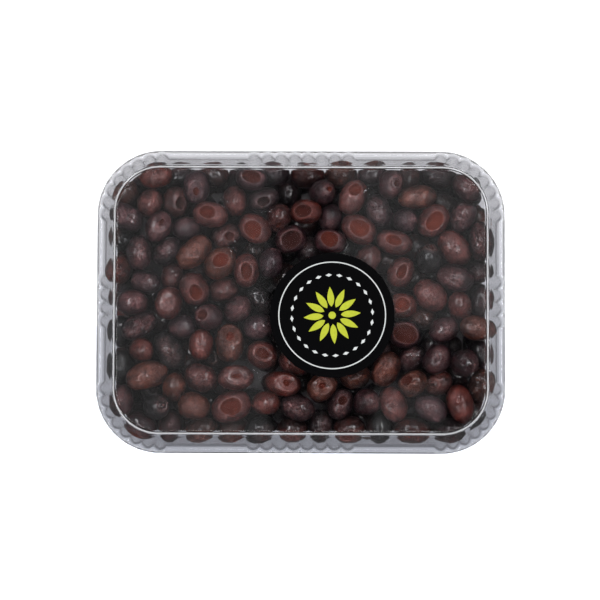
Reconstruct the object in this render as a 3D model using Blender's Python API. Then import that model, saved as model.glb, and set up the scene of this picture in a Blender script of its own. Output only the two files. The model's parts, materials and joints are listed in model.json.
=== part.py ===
"""A shut clear plastic tray of pitted dark olives, with its lid and a round label.

Metres, +Z up. The pack stands on the ring round its base at z = 0, centred on the
origin, with its long side along X and the side nearest the viewer at -Y.
"""
import math

import bmesh
import bpy
import numpy as np

MM = 0.001

# Every level outline of the pack is one rectangle grown by a "reach", with arcs of that
# reach at its corners. The rim reaches 30 mm, which makes the pack 190 mm by 141 mm.
CORE_HALF_LENGTH = 65 * MM
CORE_HALF_WIDTH = 40.5 * MM

# The lid, from the flat middle of its top out to its turned-down edge.
RIM_REACH = 30 * MM
LID_TOP = 52 * MM
PANEL_TOP = 51 * MM
PANEL_REACH = 19.8 * MM
BEAD_REACHES = (20.4 * MM, 21.4 * MM)
LID_WALL_TOP_REACH = 22.2 * MM
LID_WALL_FOOT_REACH = 27.7 * MM
LID_FLANGE_TOP = 41.2 * MM
LID_SKIRT_FOOT = 37.5 * MM
LID_WALL = 0.6 * MM

# The tray, from the raised middle of its base out to the flange that carries the lid.
BASE_RISE = 1.5 * MM
BASE_REACH = 13 * MM
FOOT_REACHES = (14.5 * MM, 18 * MM)
TRAY_WALL_FOOT_REACH = 20.5 * MM
TRAY_WALL_FOOT = 2.5 * MM
TRAY_FLUTE_TOP = 34 * MM
TRAY_FLUTE_REACH = 25.6 * MM
TRAY_WALL_TOP_REACH = 26.5 * MM
TRAY_FLANGE_REACH = 28.9 * MM
TRAY_FLANGE_TOP = 40 * MM
TRAY_WALL = 0.6 * MM

# Rounded flutes stiffen the walls: a group round each corner and one on each side.
FLUTE_PITCH = 6.28 * MM
FLUTE_DEPTH = 1.4 * MM
FLUTES_ON_LONG_SIDE = 8
FLUTES_ON_SHORT_SIDE = 4
FLUTES_AT_CORNER = 8
FLUTES_IN_HALF_ARC = 3.5
FLUTE_STEPS = 3

LABEL_RADIUS = 28.7 * MM
LABEL_THICKNESS = 0.25 * MM
LABEL_CENTRE = (14.4 * MM, -7 * MM)
LABEL_SIDES = 48
CLEARANCE = 0.3 * MM

# The olives. Those that can be told apart in the top layer lie where the real ones do:
# middle x and y, turn in degrees, length and width, all in millimetres, then how far
# each stands up, in degrees. The others are settled round and below them.
OLIVES = 420
OLIVE_LENGTHS = (15.5 * MM, 19.5 * MM)
OLIVE_WIDTHS = (11.4 * MM, 14 * MM)
TOP_OLIVES = (
    (-69, 56, 10, 16, 12, 0), (-82, 40, -20, 17, 12, 0), (-48, 52, 75, 16, 12.5, 0),
    (-42, 40, 0, 17, 12, 0), (-65, 35, 70, 15.5, 12, 0), (-50.5, 22, 50, 19.5, 12.5, 0),
    (-38, 17, 58, 17, 13.5, 0), (-77, 21, 85, 17, 12, 0), (-50.5, 5, -58, 16.5, 13.5, 0),
    (-61, -2, 75, 15.5, 13, 0), (-23.5, 57, -10, 15, 11.5, 0), (10, 50, 20, 14, 12, 60),
    (23.5, 48, 60, 17, 12.5, 0), (3, 40.5, -5, 15, 11.5, 0), (-22.5, 32.5, -35, 16.5, 13, 0),
    (-5, 29, 30, 15, 12.5, 0), (14, 28.5, -5, 15.5, 11.5, 0), (26, 33, -28, 17.5, 13, 0),
    (-25, 15, 88, 16, 12, 0), (36, 43, 98, 17, 12, 0), (53, 49, -5, 18.5, 11.5, 0),
    (48, 38, 0, 15, 11.5, 70), (61.5, 37, 50, 17, 13.5, 0), (76, 40, 60, 15.5, 12, 0),
    (77, 52, -45, 16.5, 11.5, 0), (43.5, 27.5, -8, 17.5, 11.5, 0), (71.5, 25.5, -50, 18, 13.5, 0),
    (58.5, 20, 85, 15, 12, 40), (46, 13.5, 60, 15.5, 12, 0), (84, 27, 92, 19, 12, 0),
    (72, 10, 3, 18.5, 13, 0), (60.5, 0, -30, 17.5, 13.5, 0), (48, -2, 0, 14, 12, 0),
    (49.5, -15, -10, 15, 13, 0), (67, -12, 20, 14.5, 12, 0), (82, -13, -22, 18, 12, 0),
    (61, -26.5, 60, 15, 12.5, 0), (75.5, -28, 0, 14.5, 13, 50), (41, -31, 50, 17.5, 12.5, 0),
    (43.5, -47, 92, 17, 12.5, 0), (60.5, -50, -30, 16.5, 12, 0), (72, -44.5, -55, 18, 12.5, 0),
    (30, -46.5, 0, 14.5, 12.5, 55), (-33.5, -19, 88, 18.5, 13.5, 0), (-17.5, -25, -20, 15, 13, 0),
    (-30.5, -36, 0, 17, 12, 0), (-8, -38, -5, 16.5, 11.5, 0), (11, -40.5, 40, 15.5, 12.5, 0),
    (-32, -52, 25, 19.5, 14.5, 0), (-2, -50, -15, 16.5, 12, 0), (-76, -11, 30, 18.5, 11, 0),
    (-44.5, -7, 0, 14.5, 12.5, 25), (-74, -23, 0, 14, 11.5, 70), (-61, -23, -60, 19, 13, 0),
    (-47, -21, 88, 14.5, 11.5, 0), (-70.5, -35.5, 0, 20, 13, 0), (-47, -35.5, -22, 16, 13, 0),
    (-82, -46, 88, 15.5, 11.5, 0), (-66.5, -48.5, 0, 14, 12, 70), (-50.5, -48, -20, 15.5, 12.5, 0),
)
# Olives that show past the bead, against the walls, given in the same way.
WALL_OLIVES = (
    (-74.5, 61, 20, 16, 12, 0), (-56, 63, 5, 16, 12, 0), (-41.5, 63, 0, 15.5, 12, 0),
    (-30, 64, 90, 15, 11.5, 0), (-13, 62.5, 0, 16, 11.5, 0), (3, 61, 0, 16.5, 12.5, 0),
    (19.5, 61, 0, 15.5, 12.5, 0), (33, 63.5, 0, 15, 11.5, 0), (49.5, 61.5, 80, 16, 12, 0),
    (63.5, 60, -8, 18, 12.5, 0), (86, 2.5, 88, 16, 12, 0), (87, -25, 85, 15.5, 11.5, 0),
    (83, -39, 70, 17, 12, 0), (79, -54, 45, 15.5, 12, 0), (69, -58, 15, 17.5, 12, 0),
    (52.5, -60, -5, 18, 12.5, 0), (37, -61.5, 90, 16, 12, 0), (21.5, -59.5, 0, 15.5, 12.5, 0),
    (9, -58.5, 80, 16, 11.5, 0), (-4, -60, 0, 15.5, 12, 0), (-18.5, -62, 10, 16, 12.5, 0),
    (-32.5, -64, 0, 16, 12, 0), (-46.5, -61, 0, 17.5, 12.5, 0), (-59, -61, 80, 16, 12, 0),
    (-74.5, -60, -20, 17, 12, 0), (-88, -28.5, 90, 17.5, 12.5, 0), (-88, -13.5, 90, 15.5, 11.5, 0),
    (-88, 0.5, 85, 15.5, 12, 0), (-87, 13, 80, 16, 12, 0), (-88, 27.5, 88, 16, 12, 0),
    (-83, 52.5, 60, 16, 12, 0),
)
# Olives that show in the gaps between those, a little lower, given in the same way.
GAP_OLIVES = (
    (-69.5, 46, 60, 14.5, 12, 0), (-58.5, 47.5, 75, 15.5, 12, 0), (-19.5, 46.5, 10, 16, 11.5, 0),
    (-29.5, 45.5, 80, 15, 11.5, 0), (-10.5, 40, 60, 15, 11.5, 40), (-34.5, 31, 30, 15.5, 12, 0),
    (-53, 34.5, 20, 15, 11.5, 0), (-61.5, 24, 60, 15.5, 11.5, 0), (-60.5, 11.5, 80, 14.5, 11.5, 30),
    (-70, 8.5, 0, 15, 11.5, 0), (-35, 4.5, 10, 15, 12, 0), (-13.5, 17, 70, 15, 11.5, 0),
    (13.5, 40, 80, 15, 11.5, 30), (41.5, 54, 70, 15, 11.5, 0), (32.5, 21.5, 60, 15, 11.5, 0),
    (81, 14.5, 20, 15, 11.5, 0), (72, -1, 90, 15, 11.5, 30), (57, -6, 20, 15, 11.5, 0),
    (52.5, -25.5, 20, 15.5, 12, 0), (63.5, -37, 0, 15, 11.5, 30), (52, -38, 20, 15.5, 12, 0),
    (25, -34, 10, 15, 12, 0), (18.5, -48, 60, 15.5, 11.5, 0), (-81, 1, 0, 15, 12, 0),
    (-55, -11.5, 10, 15, 11.5, 30), (-30, -3, 45, 15.5, 12, 0), (-20, -11, 0, 15.5, 12, 0),
    (-3.5, -29, -20, 16, 12, 0), (-59.5, -40, 90, 15, 11.5, 40), (-16, -46.5, 0, 15, 11.5, 40),
)
PLACED_OLIVES = TOP_OLIVES + WALL_OLIVES + GAP_OLIVES
TOP_OLIVE_HEIGHT = 42.3 * MM
WALL_OLIVE_HEIGHT = 36 * MM
GAP_OLIVE_HEIGHT = 40.5 * MM
HEAP_FLOOR = 2.6 * MM
HEAP_CEILING = 50 * MM
HEAP_MARGIN = 0.4 * MM
HEAP_SEED = 7

# Settling. An olive is three balls in a row, whose end balls are a little smaller. It
# starts small, and each step moves it by a share of its overlaps and lets it sink.
END_BALL = 0.84
FIRST_SIZE = 0.4
GROWING_STEPS = 200
SETTLING_STEPS = 700
QUIET_STEPS = 150
STEP_SHARE = 0.7
SINKING = 0.25 * MM
HOLD_SHARE = 0.5
PAIRING_STEPS = 5
PAIRING_SLACK = 2 * MM
PLACE_DECIMALS = 7

# What shows of the heap: whole olives out to its uneven outline, over a plain core.
HEAP_SHELL = 9.6 * MM
CORE_INSET = 7 * MM
TOP_OLIVE_SIDES = (6, 4)
SIDE_OLIVE_SIDES = (6, 3)
BASE_OLIVE_SIDES = (4, 3)
OLIVE_BLUNTNESS = 0.85
OFF_AXIS = (0.31, 0.17, 1.0)
SAME_POINT = 0.002 * MM

CLEAR_PLASTIC = (0.72, 0.72, 0.76)
LABEL_BLACK = (0.006, 0.006, 0.008)
OLIVE_SKIN = (0.09, 0.05, 0.05)


def remove_everything():
    for old in list(bpy.data.objects):
        bpy.data.objects.remove(old, do_unlink=True)


def material(name, colour, roughness, alpha=1.0):
    made = bpy.data.materials.new(name)
    made.use_nodes = True
    shader = made.node_tree.nodes["Principled BSDF"]
    shader.inputs["Base Color"].default_value = (*colour, 1)
    shader.inputs["Roughness"].default_value = roughness
    shader.inputs["Metallic"].default_value = 0.0
    shader.inputs["Alpha"].default_value = alpha
    return made


def add_object(name, mesh_data, finish):
    mesh = bpy.data.meshes.new(name)
    mesh_data.to_mesh(mesh)
    mesh_data.free()
    mesh.materials.append(finish)
    mesh.shade_smooth()
    mesh.set_sharp_from_angle(angle=math.radians(35))
    made = bpy.data.objects.new(name, mesh)
    bpy.context.scene.collection.objects.link(made)
    return made


def corner_station(place):
    """A point of the corner at +X, +Y, placed in flutes from the middle of its arc."""
    along = max(-1.0, min(1.0, place / FLUTES_IN_HALF_ARC))
    angle = math.radians(45 + 45 * along)
    past_arc = max(abs(place) - FLUTES_IN_HALF_ARC, 0) * FLUTE_PITCH
    x = CORE_HALF_LENGTH - (past_arc if place > 0 else 0)
    y = CORE_HALF_WIDTH - (past_arc if place < 0 else 0)
    return x, y, math.cos(angle), math.sin(angle), place


def outline_stations():
    """Points once round the core rectangle: x, y, outward x, outward y and place in flutes."""
    short_side = [step / FLUTE_STEPS for step in range(FLUTES_ON_SHORT_SIDE // 2 * FLUTE_STEPS + 1)]
    long_side = [step / FLUTE_STEPS for step in range(FLUTES_ON_LONG_SIDE // 2 * FLUTE_STEPS + 1)]
    corner_end = FLUTES_AT_CORNER // 2 * FLUTE_STEPS
    quarter = [(CORE_HALF_LENGTH, place * FLUTE_PITCH, 1.0, 0.0, place) for place in short_side]
    quarter += [corner_station(step / FLUTE_STEPS) for step in range(-corner_end, corner_end + 1)]
    quarter += [(place * FLUTE_PITCH, CORE_HALF_WIDTH, 0.0, 1.0, place) for place in reversed(long_side)]
    half = quarter + [(-x, y, -ox, oy, place) for x, y, ox, oy, place in reversed(quarter[:-1])]
    return half + [(x, -y, ox, -oy, place) for x, y, ox, oy, place in reversed(half[1:-1])]


STATIONS = outline_stations()
CUSPS = [index for index, station in enumerate(STATIONS) if station[4] % 1 == 0]


def ring(shape, reach, height, flutes=None):
    """Adds one level outline: at the flutes' ends only, or at every station with the flutes' swell."""
    indices = CUSPS if flutes is None else range(len(STATIONS))
    made = {}
    for index in indices:
        x, y, outward_x, outward_y, place = STATIONS[index]
        out = reach + (flutes or 0.0) * abs(math.sin(math.pi * place))
        made[index] = shape.verts.new((x + outward_x * out, y + outward_y * out, height))
    return made


def band(shape, first, second):
    """Joins two rings; where one has all the stations and the other only the ends, by fans."""
    for here, there in zip(CUSPS, CUSPS[1:] + CUSPS[:1]):
        if len(first) == len(second) and len(first) > len(CUSPS):
            last = there if there > here else there + len(STATIONS)
            for index in range(here, last):
                a, b = index % len(STATIONS), (index + 1) % len(STATIONS)
                shape.faces.new((first[a], first[b], second[b], second[a]))
            continue
        if len(first) == len(second):
            shape.faces.new((first[here], first[there], second[there], second[here]))
            continue
        turned = len(first) < len(second)
        fine, coarse = (second, first) if turned else (first, second)
        last = there if there > here else there + len(STATIONS)
        middle = max(here + 1, (here + last) // 2)
        for index in range(here, last):
            a, b = index % len(STATIONS), (index + 1) % len(STATIONS)
            apex = coarse[here] if index < middle else coarse[there]
            fan(shape, fine[a], fine[b], apex, turned)
            if index + 1 == middle:
                fan(shape, fine[b], coarse[there], coarse[here], turned)


def fan(shape, first, second, third, turned):
    shape.faces.new((third, second, first) if turned else (first, second, third))


def lathe(shape, profile):
    """Joins the profile's rings in order and closes its two ends with flat caps."""
    rings = [ring(shape, *entry) for entry in profile]
    for first, second in zip(rings, rings[1:]):
        band(shape, first, second)
    for end in (rings[0], rings[-1]):
        shape.faces.new(list(end.values()))
    bmesh.ops.triangulate(shape, faces=[face for face in shape.faces if len(face.verts) > 4])
    bmesh.ops.recalc_face_normals(shape, faces=shape.faces)


def build_tray(finish):
    shape = bmesh.new()
    lathe(shape, (
        (BASE_REACH, BASE_RISE),
        (FOOT_REACHES[0], 0.0),
        (FOOT_REACHES[1], 0.0),
        (TRAY_WALL_FOOT_REACH, TRAY_WALL_FOOT),
        (TRAY_FLUTE_REACH, TRAY_FLUTE_TOP, FLUTE_DEPTH),
        (TRAY_WALL_TOP_REACH, TRAY_FLANGE_TOP - TRAY_WALL),
        (TRAY_FLANGE_REACH, TRAY_FLANGE_TOP - TRAY_WALL),
        (TRAY_FLANGE_REACH, TRAY_FLANGE_TOP),
        (TRAY_WALL_TOP_REACH - TRAY_WALL, TRAY_FLANGE_TOP),
        (TRAY_FLUTE_REACH - TRAY_WALL, TRAY_FLUTE_TOP, FLUTE_DEPTH),
        (TRAY_WALL_FOOT_REACH - TRAY_WALL, TRAY_WALL_FOOT + TRAY_WALL),
        (FOOT_REACHES[1], BASE_RISE + TRAY_WALL),
    ))
    return add_object("tray", shape, finish)


def build_lid(finish):
    shape = bmesh.new()
    under_flange = LID_FLANGE_TOP - LID_WALL
    lathe(shape, (
        (PANEL_REACH, PANEL_TOP),
        (BEAD_REACHES[0], LID_TOP),
        (BEAD_REACHES[1], LID_TOP),
        (LID_WALL_TOP_REACH, PANEL_TOP),
        (LID_WALL_FOOT_REACH, LID_FLANGE_TOP, FLUTE_DEPTH),
        (RIM_REACH, LID_FLANGE_TOP),
        (RIM_REACH, LID_SKIRT_FOOT),
        (RIM_REACH - LID_WALL, LID_SKIRT_FOOT),
        (RIM_REACH - LID_WALL, under_flange),
        (LID_WALL_FOOT_REACH - LID_WALL, under_flange, FLUTE_DEPTH),
        (LID_WALL_TOP_REACH - LID_WALL, PANEL_TOP - LID_WALL),
    ))
    return add_object("lid", shape, finish)


def build_label(finish):
    shape = bmesh.new()
    bmesh.ops.create_cone(
        shape,
        cap_ends=True,
        segments=LABEL_SIDES,
        radius1=LABEL_RADIUS,
        radius2=LABEL_RADIUS,
        depth=LABEL_THICKNESS,
    )
    made = add_object("label", shape, finish)
    made.location = (*LABEL_CENTRE, PANEL_TOP + CLEARANCE + LABEL_THICKNESS / 2)
    return made


def inner_walls():
    """The leaning inner faces of tray and lid: lower height and reach, then upper."""
    tray = (TRAY_WALL_FOOT + TRAY_WALL, TRAY_WALL_FOOT_REACH - TRAY_WALL,
            TRAY_FLANGE_TOP, TRAY_WALL_TOP_REACH - TRAY_WALL)
    lid = (LID_FLANGE_TOP - LID_WALL, LID_WALL_FOOT_REACH - LID_WALL,
           PANEL_TOP - LID_WALL, LID_WALL_TOP_REACH - LID_WALL)
    return tray, lid


def room_at(height):
    """How far the pack's inside reaches past the core rectangle at a height."""
    reaches = [low_reach + (height - low) * (high_reach - low_reach) / (high - low)
               for low, low_reach, high, high_reach in inner_walls()]
    return np.minimum(*reaches)


def start_olives(rng):
    """Centres, long axes, half lengths and half widths, the placed olives first."""
    rows = np.array(PLACED_OLIVES)
    placed = len(rows)
    half_length = rng.uniform(*OLIVE_LENGTHS, OLIVES) / 2
    half_width = rng.uniform(*OLIVE_WIDTHS, OLIVES) / 2
    half_length[:placed] = rows[:, 3] * MM / 2
    half_width[:placed] = rows[:, 4] * MM / 2
    limits = np.array((CORE_HALF_LENGTH, CORE_HALF_WIDTH)) + FOOT_REACHES[1]
    centre = rng.uniform(-1, 1, (OLIVES, 3)) * (*limits, 1)
    centre[:, 2] = rng.uniform(HEAP_FLOOR, TOP_OLIVE_HEIGHT, OLIVES)
    centre[:placed, :2] = rows[:, :2] * MM
    centre[:placed, 2] = GAP_OLIVE_HEIGHT
    centre[:placed - len(GAP_OLIVES), 2] = WALL_OLIVE_HEIGHT
    centre[:len(TOP_OLIVES), 2] = TOP_OLIVE_HEIGHT
    axis = rng.normal(size=(OLIVES, 3)) * (1, 1, 0.6)
    turn, lift = np.radians(rows[:, 2]), np.radians(rows[:, 5])
    axis[:placed] = np.stack((np.cos(turn) * np.cos(lift), np.sin(turn) * np.cos(lift), np.sin(lift)), 1)
    return centre, unit(axis), half_length, half_width


def unit(vectors):
    return vectors / np.linalg.norm(vectors, axis=-1, keepdims=True)


def push(centre_move, axis_turn, who, axis, offset, direction, depth, inertia):
    """Shares a push at one ball of an olive between moving its centre and turning it."""
    lever = np.cross(axis[who] * offset[:, None], direction)
    amount = depth / (1 + (lever ** 2).sum(1) / inertia[who])
    np.add.at(centre_move, who, direction * amount[:, None])
    np.add.at(axis_turn, who, lever * (amount / inertia[who])[:, None])


def part_pairs(balls, radii, offsets, axis, pairs, inertia):
    """Pushes each pair of olives apart at the two balls that overlap most."""
    first, second = pairs
    between = balls[first][:, :, None] - balls[second][:, None]
    distance = np.linalg.norm(between, axis=3)
    overlap = radii[first][:, :, None] + radii[second][:, None] - distance
    deepest = overlap.reshape(len(first), 9).argmax(1)
    ball, other = deepest // 3, deepest % 3
    rows = np.arange(len(first))
    depth = np.maximum(overlap[rows, ball, other], 0)
    direction = between[rows, ball, other] / np.maximum(distance[rows, ball, other], 1e-9)[:, None]
    move, turn = np.zeros_like(axis), np.zeros_like(axis)
    push(move, turn, first, axis, offsets[first, ball], direction, depth / 2, inertia)
    push(move, turn, second, axis, offsets[second, other], -direction, depth / 2, inertia)
    return move, turn


def past_core(place):
    """Outward direction from the core rectangle, and how far past it each place lies."""
    beyond = np.abs(place[:, :2]) - (CORE_HALF_LENGTH, CORE_HALF_WIDTH)
    corner = np.maximum(beyond, 0)
    distance = np.linalg.norm(corner, axis=1)
    nearest = (beyond == beyond.max(1)[:, None]).astype(float)
    outward = np.where(distance[:, None] > 0, corner / np.maximum(distance, 1e-9)[:, None], nearest)
    return outward * np.sign(place[:, :2]), np.where(distance > 0, distance, beyond.max(1))


def keep_inside(balls, radii, offsets, axis, inertia):
    """Pushes the olives in from the leaning walls, up from the base and down from the lid."""
    everyone = np.arange(len(axis))
    move, turn = np.zeros_like(axis), np.zeros_like(axis)
    upward = np.tile((0.0, 0.0, 1.0), (len(axis), 1))
    for ball in range(3):
        place, radius, offset = balls[:, ball], radii[:, ball], offsets[:, ball]
        outward, distance = past_core(place)
        below, above = HEAP_FLOOR + radius - place[:, 2], place[:, 2] + radius - HEAP_CEILING
        pushes = [(upward, below), (-upward, above)]
        for low, low_reach, high, high_reach in inner_walls():
            lean = math.atan2(high_reach - low_reach, high - low)
            reach = low_reach + (place[:, 2] - low) * math.tan(lean)
            inward = np.column_stack((-outward * math.cos(lean), upward[:, 2] * math.sin(lean)))
            pushes.append((inward, radius + HEAP_MARGIN - (reach - distance) * math.cos(lean)))
        for direction, depth in pushes:
            push(move, turn, everyone, axis, offset, direction, np.maximum(depth, 0), inertia)
    return move, turn


def settle_olives():
    """Grows the olives to full size while they push each other apart and sink.

    Places are rounded at each step, so that every computer settles them alike.
    """
    rng = np.random.default_rng(HEAP_SEED)
    centre, axis, half_length, half_width = start_olives(rng)
    placed = len(PLACED_OLIVES)
    home, home_axis = centre[:placed].copy(), axis[:placed].copy()
    end_radius = half_width * END_BALL
    end_offset = half_length - end_radius
    radii = np.stack((end_radius, half_width, end_radius), 1)
    offsets = np.stack((-end_offset, 0 * end_offset, end_offset), 1)
    inertia = (half_length ** 2 + half_width ** 2) / 5
    for step in range(SETTLING_STEPS):
        size = min(1.0, FIRST_SIZE + (1 - FIRST_SIZE) * step / GROWING_STEPS)
        if step % PAIRING_STEPS == 0:
            gap = np.linalg.norm(centre[:, None] - centre[None], axis=2)
            reach = half_length[:, None] + half_length[None] + PAIRING_SLACK
            pairs = np.nonzero(np.triu(gap < reach, 1))
        balls = centre[:, None] + axis[:, None] * (offsets * size)[:, :, None]
        move, turn = part_pairs(balls, radii * size, offsets * size, axis, pairs, inertia)
        centre += STEP_SHARE * move
        axis = unit(axis + STEP_SHARE * np.cross(turn, axis))
        centre[placed:, 2] -= SINKING * max(0.0, 1 - step / (SETTLING_STEPS - QUIET_STEPS))
        hold = HOLD_SHARE * (1 - step / SETTLING_STEPS)
        centre[:placed] += hold * (home - centre[:placed])
        axis[:placed] = unit(axis[:placed] + hold * (home_axis - axis[:placed]))
        balls = centre[:, None] + axis[:, None] * (offsets * size)[:, :, None]
        move, turn = keep_inside(balls, radii * size, offsets * size, axis, inertia)
        centre = np.round(centre + STEP_SHARE * move, PLACE_DECIMALS)
        axis = np.round(unit(axis + STEP_SHARE * np.cross(turn, axis)), PLACE_DECIMALS)
    return centre, axis, half_length, half_width


def depth_inside(centre):
    """How deep each olive's middle lies inside the wall, under the lid and over the base."""
    _, distance = past_core(centre)
    return room_at(centre[:, 2]) - distance, HEAP_CEILING - centre[:, 2], centre[:, 2] - HEAP_FLOOR


def add_olive(shape, centre, axis, half_length, half_width, sides):
    """A blunt spindle along its axis, its points worked out from an ellipse."""
    around, along = sides
    across = unit(np.cross(axis, OFF_AXIS))
    third = np.cross(axis, across)
    tip = shape.verts.new(centre + axis * half_length)
    tail = shape.verts.new(centre - axis * half_length)
    rings = []
    for level in range(1, along):
        angle = math.pi * level / along
        middle = centre + axis * half_length * math.cos(angle)
        width = half_width * math.sin(angle) ** OLIVE_BLUNTNESS
        turns = [2 * math.pi * (step + level % 2 / 2) / around for step in range(around)]
        spokes = [across * math.cos(turn) + third * math.sin(turn) for turn in turns]
        rings.append([shape.verts.new(middle + width * spoke) for spoke in spokes])
    for level, (first, second) in enumerate(zip(rings, rings[1:]), 1):
        for step in range(around):
            following = (step + 1) % around
            if level % 2:
                shape.faces.new((first[step], second[step], second[following]))
                shape.faces.new((first[step], second[following], first[following]))
            else:
                shape.faces.new((first[step], second[step], first[following]))
                shape.faces.new((second[step], second[following], first[following]))
    for step in range(around):
        following = (step + 1) % around
        shape.faces.new((tip, rings[0][step], rings[0][following]))
        shape.faces.new((tail, rings[-1][following], rings[-1][step]))


def build_core():
    """The plain middle of the heap, inside the outer layer of olives."""
    shape = bmesh.new()
    low, high = HEAP_FLOOR + CORE_INSET, HEAP_CEILING - CORE_INSET
    levels = [(low, room_at(low) - CORE_INSET), (high, room_at(high) - CORE_INSET)]
    loops = []
    for height, reach in levels:
        loop = []
        for index in CUSPS[::2]:
            x, y, outward_x, outward_y = STATIONS[index][:4]
            loop.append(shape.verts.new((x + outward_x * reach, y + outward_y * reach, height)))
        loops.append(loop)
    for step, (a, b) in enumerate(zip(*loops)):
        following = (step + 1) % len(loops[0])
        shape.faces.new((a, loops[0][following], loops[1][following], b))
    shape.faces.new(loops[1])
    shape.faces.new(list(reversed(loops[0])))
    bmesh.ops.recalc_face_normals(shape, faces=shape.faces)
    return shape


def link_helper(name, shape, collection):
    mesh = bpy.data.meshes.new(name)
    shape.to_mesh(mesh)
    shape.free()
    made = bpy.data.objects.new(name, mesh)
    collection.objects.link(made)
    return made


def keep_largest_body(mesh):
    """Drops loose scraps and inner skins, so that one closed body is left."""
    shape = bmesh.new()
    shape.from_mesh(mesh)
    bmesh.ops.remove_doubles(shape, verts=shape.verts, dist=SAME_POINT)
    seen, bodies = set(), []
    for face in shape.faces:
        if face in seen:
            continue
        body, open_faces = [], [face]
        seen.add(face)
        while open_faces:
            current = open_faces.pop()
            body.append(current)
            for edge in current.edges:
                for neighbour in edge.link_faces:
                    if neighbour not in seen:
                        seen.add(neighbour)
                        open_faces.append(neighbour)
        bodies.append(body)
    largest = max(bodies, key=len)
    spare = [face for body in bodies if body is not largest for face in body]
    bmesh.ops.delete(shape, geom=spare, context="FACES")
    bmesh.ops.triangulate(shape, faces=shape.faces)
    shape.to_mesh(mesh)
    shape.free()


def build_olives(finish):
    centre, axis, half_length, half_width = settle_olives()
    from_wall, from_lid, from_base = depth_inside(centre)
    helpers = bpy.data.collections.new("loose olives")
    bpy.context.scene.collection.children.link(helpers)
    heap = link_helper("olives", build_core(), bpy.context.scene.collection)
    for index in range(OLIVES):
        if min(from_wall[index], from_lid[index], from_base[index]) > HEAP_SHELL:
            continue
        sides = BASE_OLIVE_SIDES if from_base[index] < HEAP_SHELL else SIDE_OLIVE_SIDES
        if from_lid[index] < HEAP_SHELL:
            sides = TOP_OLIVE_SIDES
        shape = bmesh.new()
        add_olive(shape, centre[index], axis[index], half_length[index], half_width[index], sides)
        bmesh.ops.recalc_face_normals(shape, faces=shape.faces)
        link_helper(f"olive {index}", shape, helpers)
    join = heap.modifiers.new("join the olives", "BOOLEAN")
    join.operation = "UNION"
    join.operand_type = "COLLECTION"
    join.collection = helpers
    join.solver = "MANIFOLD"
    joined = bpy.data.meshes.new_from_object(heap.evaluated_get(bpy.context.evaluated_depsgraph_get()))
    heap.modifiers.remove(join)
    heap.data = joined
    for helper in list(helpers.objects):
        bpy.data.objects.remove(helper, do_unlink=True)
    bpy.data.collections.remove(helpers)
    keep_largest_body(joined)
    joined.materials.clear()
    joined.materials.append(finish)
    joined.shade_smooth()
    joined.set_sharp_from_angle(angle=math.radians(50))
    return heap


def build_pack():
    remove_everything()
    plastic = material("clear plastic", CLEAR_PLASTIC, 0.1, alpha=0.25)
    build_tray(plastic)
    build_lid(plastic)
    build_label(material("label print", LABEL_BLACK, 0.4))
    build_olives(material("olive skin", OLIVE_SKIN, 0.35))


build_pack()
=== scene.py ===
"""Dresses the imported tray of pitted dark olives: clear plastic, brined fruit, a round label."""
import json
import math

import bmesh
import bpy
import numpy as np
from mathutils import Matrix, Vector

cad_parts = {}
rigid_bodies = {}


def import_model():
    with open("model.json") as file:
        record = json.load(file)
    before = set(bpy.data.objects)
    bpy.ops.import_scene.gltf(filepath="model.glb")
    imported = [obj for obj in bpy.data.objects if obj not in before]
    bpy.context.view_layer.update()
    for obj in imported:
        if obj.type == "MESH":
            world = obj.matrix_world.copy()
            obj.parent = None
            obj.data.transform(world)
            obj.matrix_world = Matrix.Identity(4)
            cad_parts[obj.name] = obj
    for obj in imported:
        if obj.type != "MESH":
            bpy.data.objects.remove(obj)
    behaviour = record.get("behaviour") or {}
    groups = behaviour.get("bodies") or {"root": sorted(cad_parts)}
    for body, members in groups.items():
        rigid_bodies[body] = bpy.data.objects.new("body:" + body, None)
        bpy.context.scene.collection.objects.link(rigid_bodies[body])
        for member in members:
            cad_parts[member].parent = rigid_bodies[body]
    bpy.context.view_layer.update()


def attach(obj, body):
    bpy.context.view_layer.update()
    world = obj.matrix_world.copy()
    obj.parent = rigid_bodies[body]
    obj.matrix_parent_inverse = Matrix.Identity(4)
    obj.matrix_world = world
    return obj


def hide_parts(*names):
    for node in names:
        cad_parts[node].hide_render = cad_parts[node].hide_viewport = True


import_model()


# The tray
# Half a millimetre of clear PET, drawn down warm into a mould. Rounded flutes stiffen its
# walls, a ring round its base carries it, and its flange carries the lid.
MM = 0.001
CORE_HALF_LENGTH = 65 * MM
CORE_HALF_WIDTH = 40.5 * MM
FLUTE_PITCH = 6.28 * MM
FLUTE_DEPTH = 1.4 * MM
FLUTES_ON_LONG_SIDE = 8
FLUTES_ON_SHORT_SIDE = 4
FLUTES_AT_CORNER = 8
FLUTES_IN_HALF_ARC = 3.5
FLUTE_STEPS = 8
ROUNDING_STEPS = 4
LONGEST_ROUNDING = 0.45

BASE_RISE = 1.5 * MM
BASE_REACH = 13 * MM
FOOT_REACHES = (14.5 * MM, 18 * MM)
TRAY_WALL_FOOT_REACH = 20.5 * MM
TRAY_WALL_FOOT = 2.5 * MM
TRAY_FLUTE_FOOT = 5 * MM
TRAY_FLUTE_TOP = 34 * MM
TRAY_FLUTE_REACH = 25.6 * MM
TRAY_WALL_TOP_REACH = 26.5 * MM
TRAY_FLANGE_REACH = 28.9 * MM
TRAY_FLANGE_TOP = 40 * MM
TRAY_WALL = 0.6 * MM
PLASTIC_TINT = (0.92, 0.92, 0.94, 1)
# Diffuse white painted as a highlight along the ridge of the lid's bead.
PAINTED_HIGHLIGHT_WHITE = (0.8, 0.81, 0.84, 1)
PLASTIC_ROUGHNESS = 0.05
BOWS_SCALE = 28
TRAY_BENDS_LIGHT = 1.17
TRAY_BOWING = 0.3 * MM
TRAY_CLEAR_SHARE = 0.4


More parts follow.
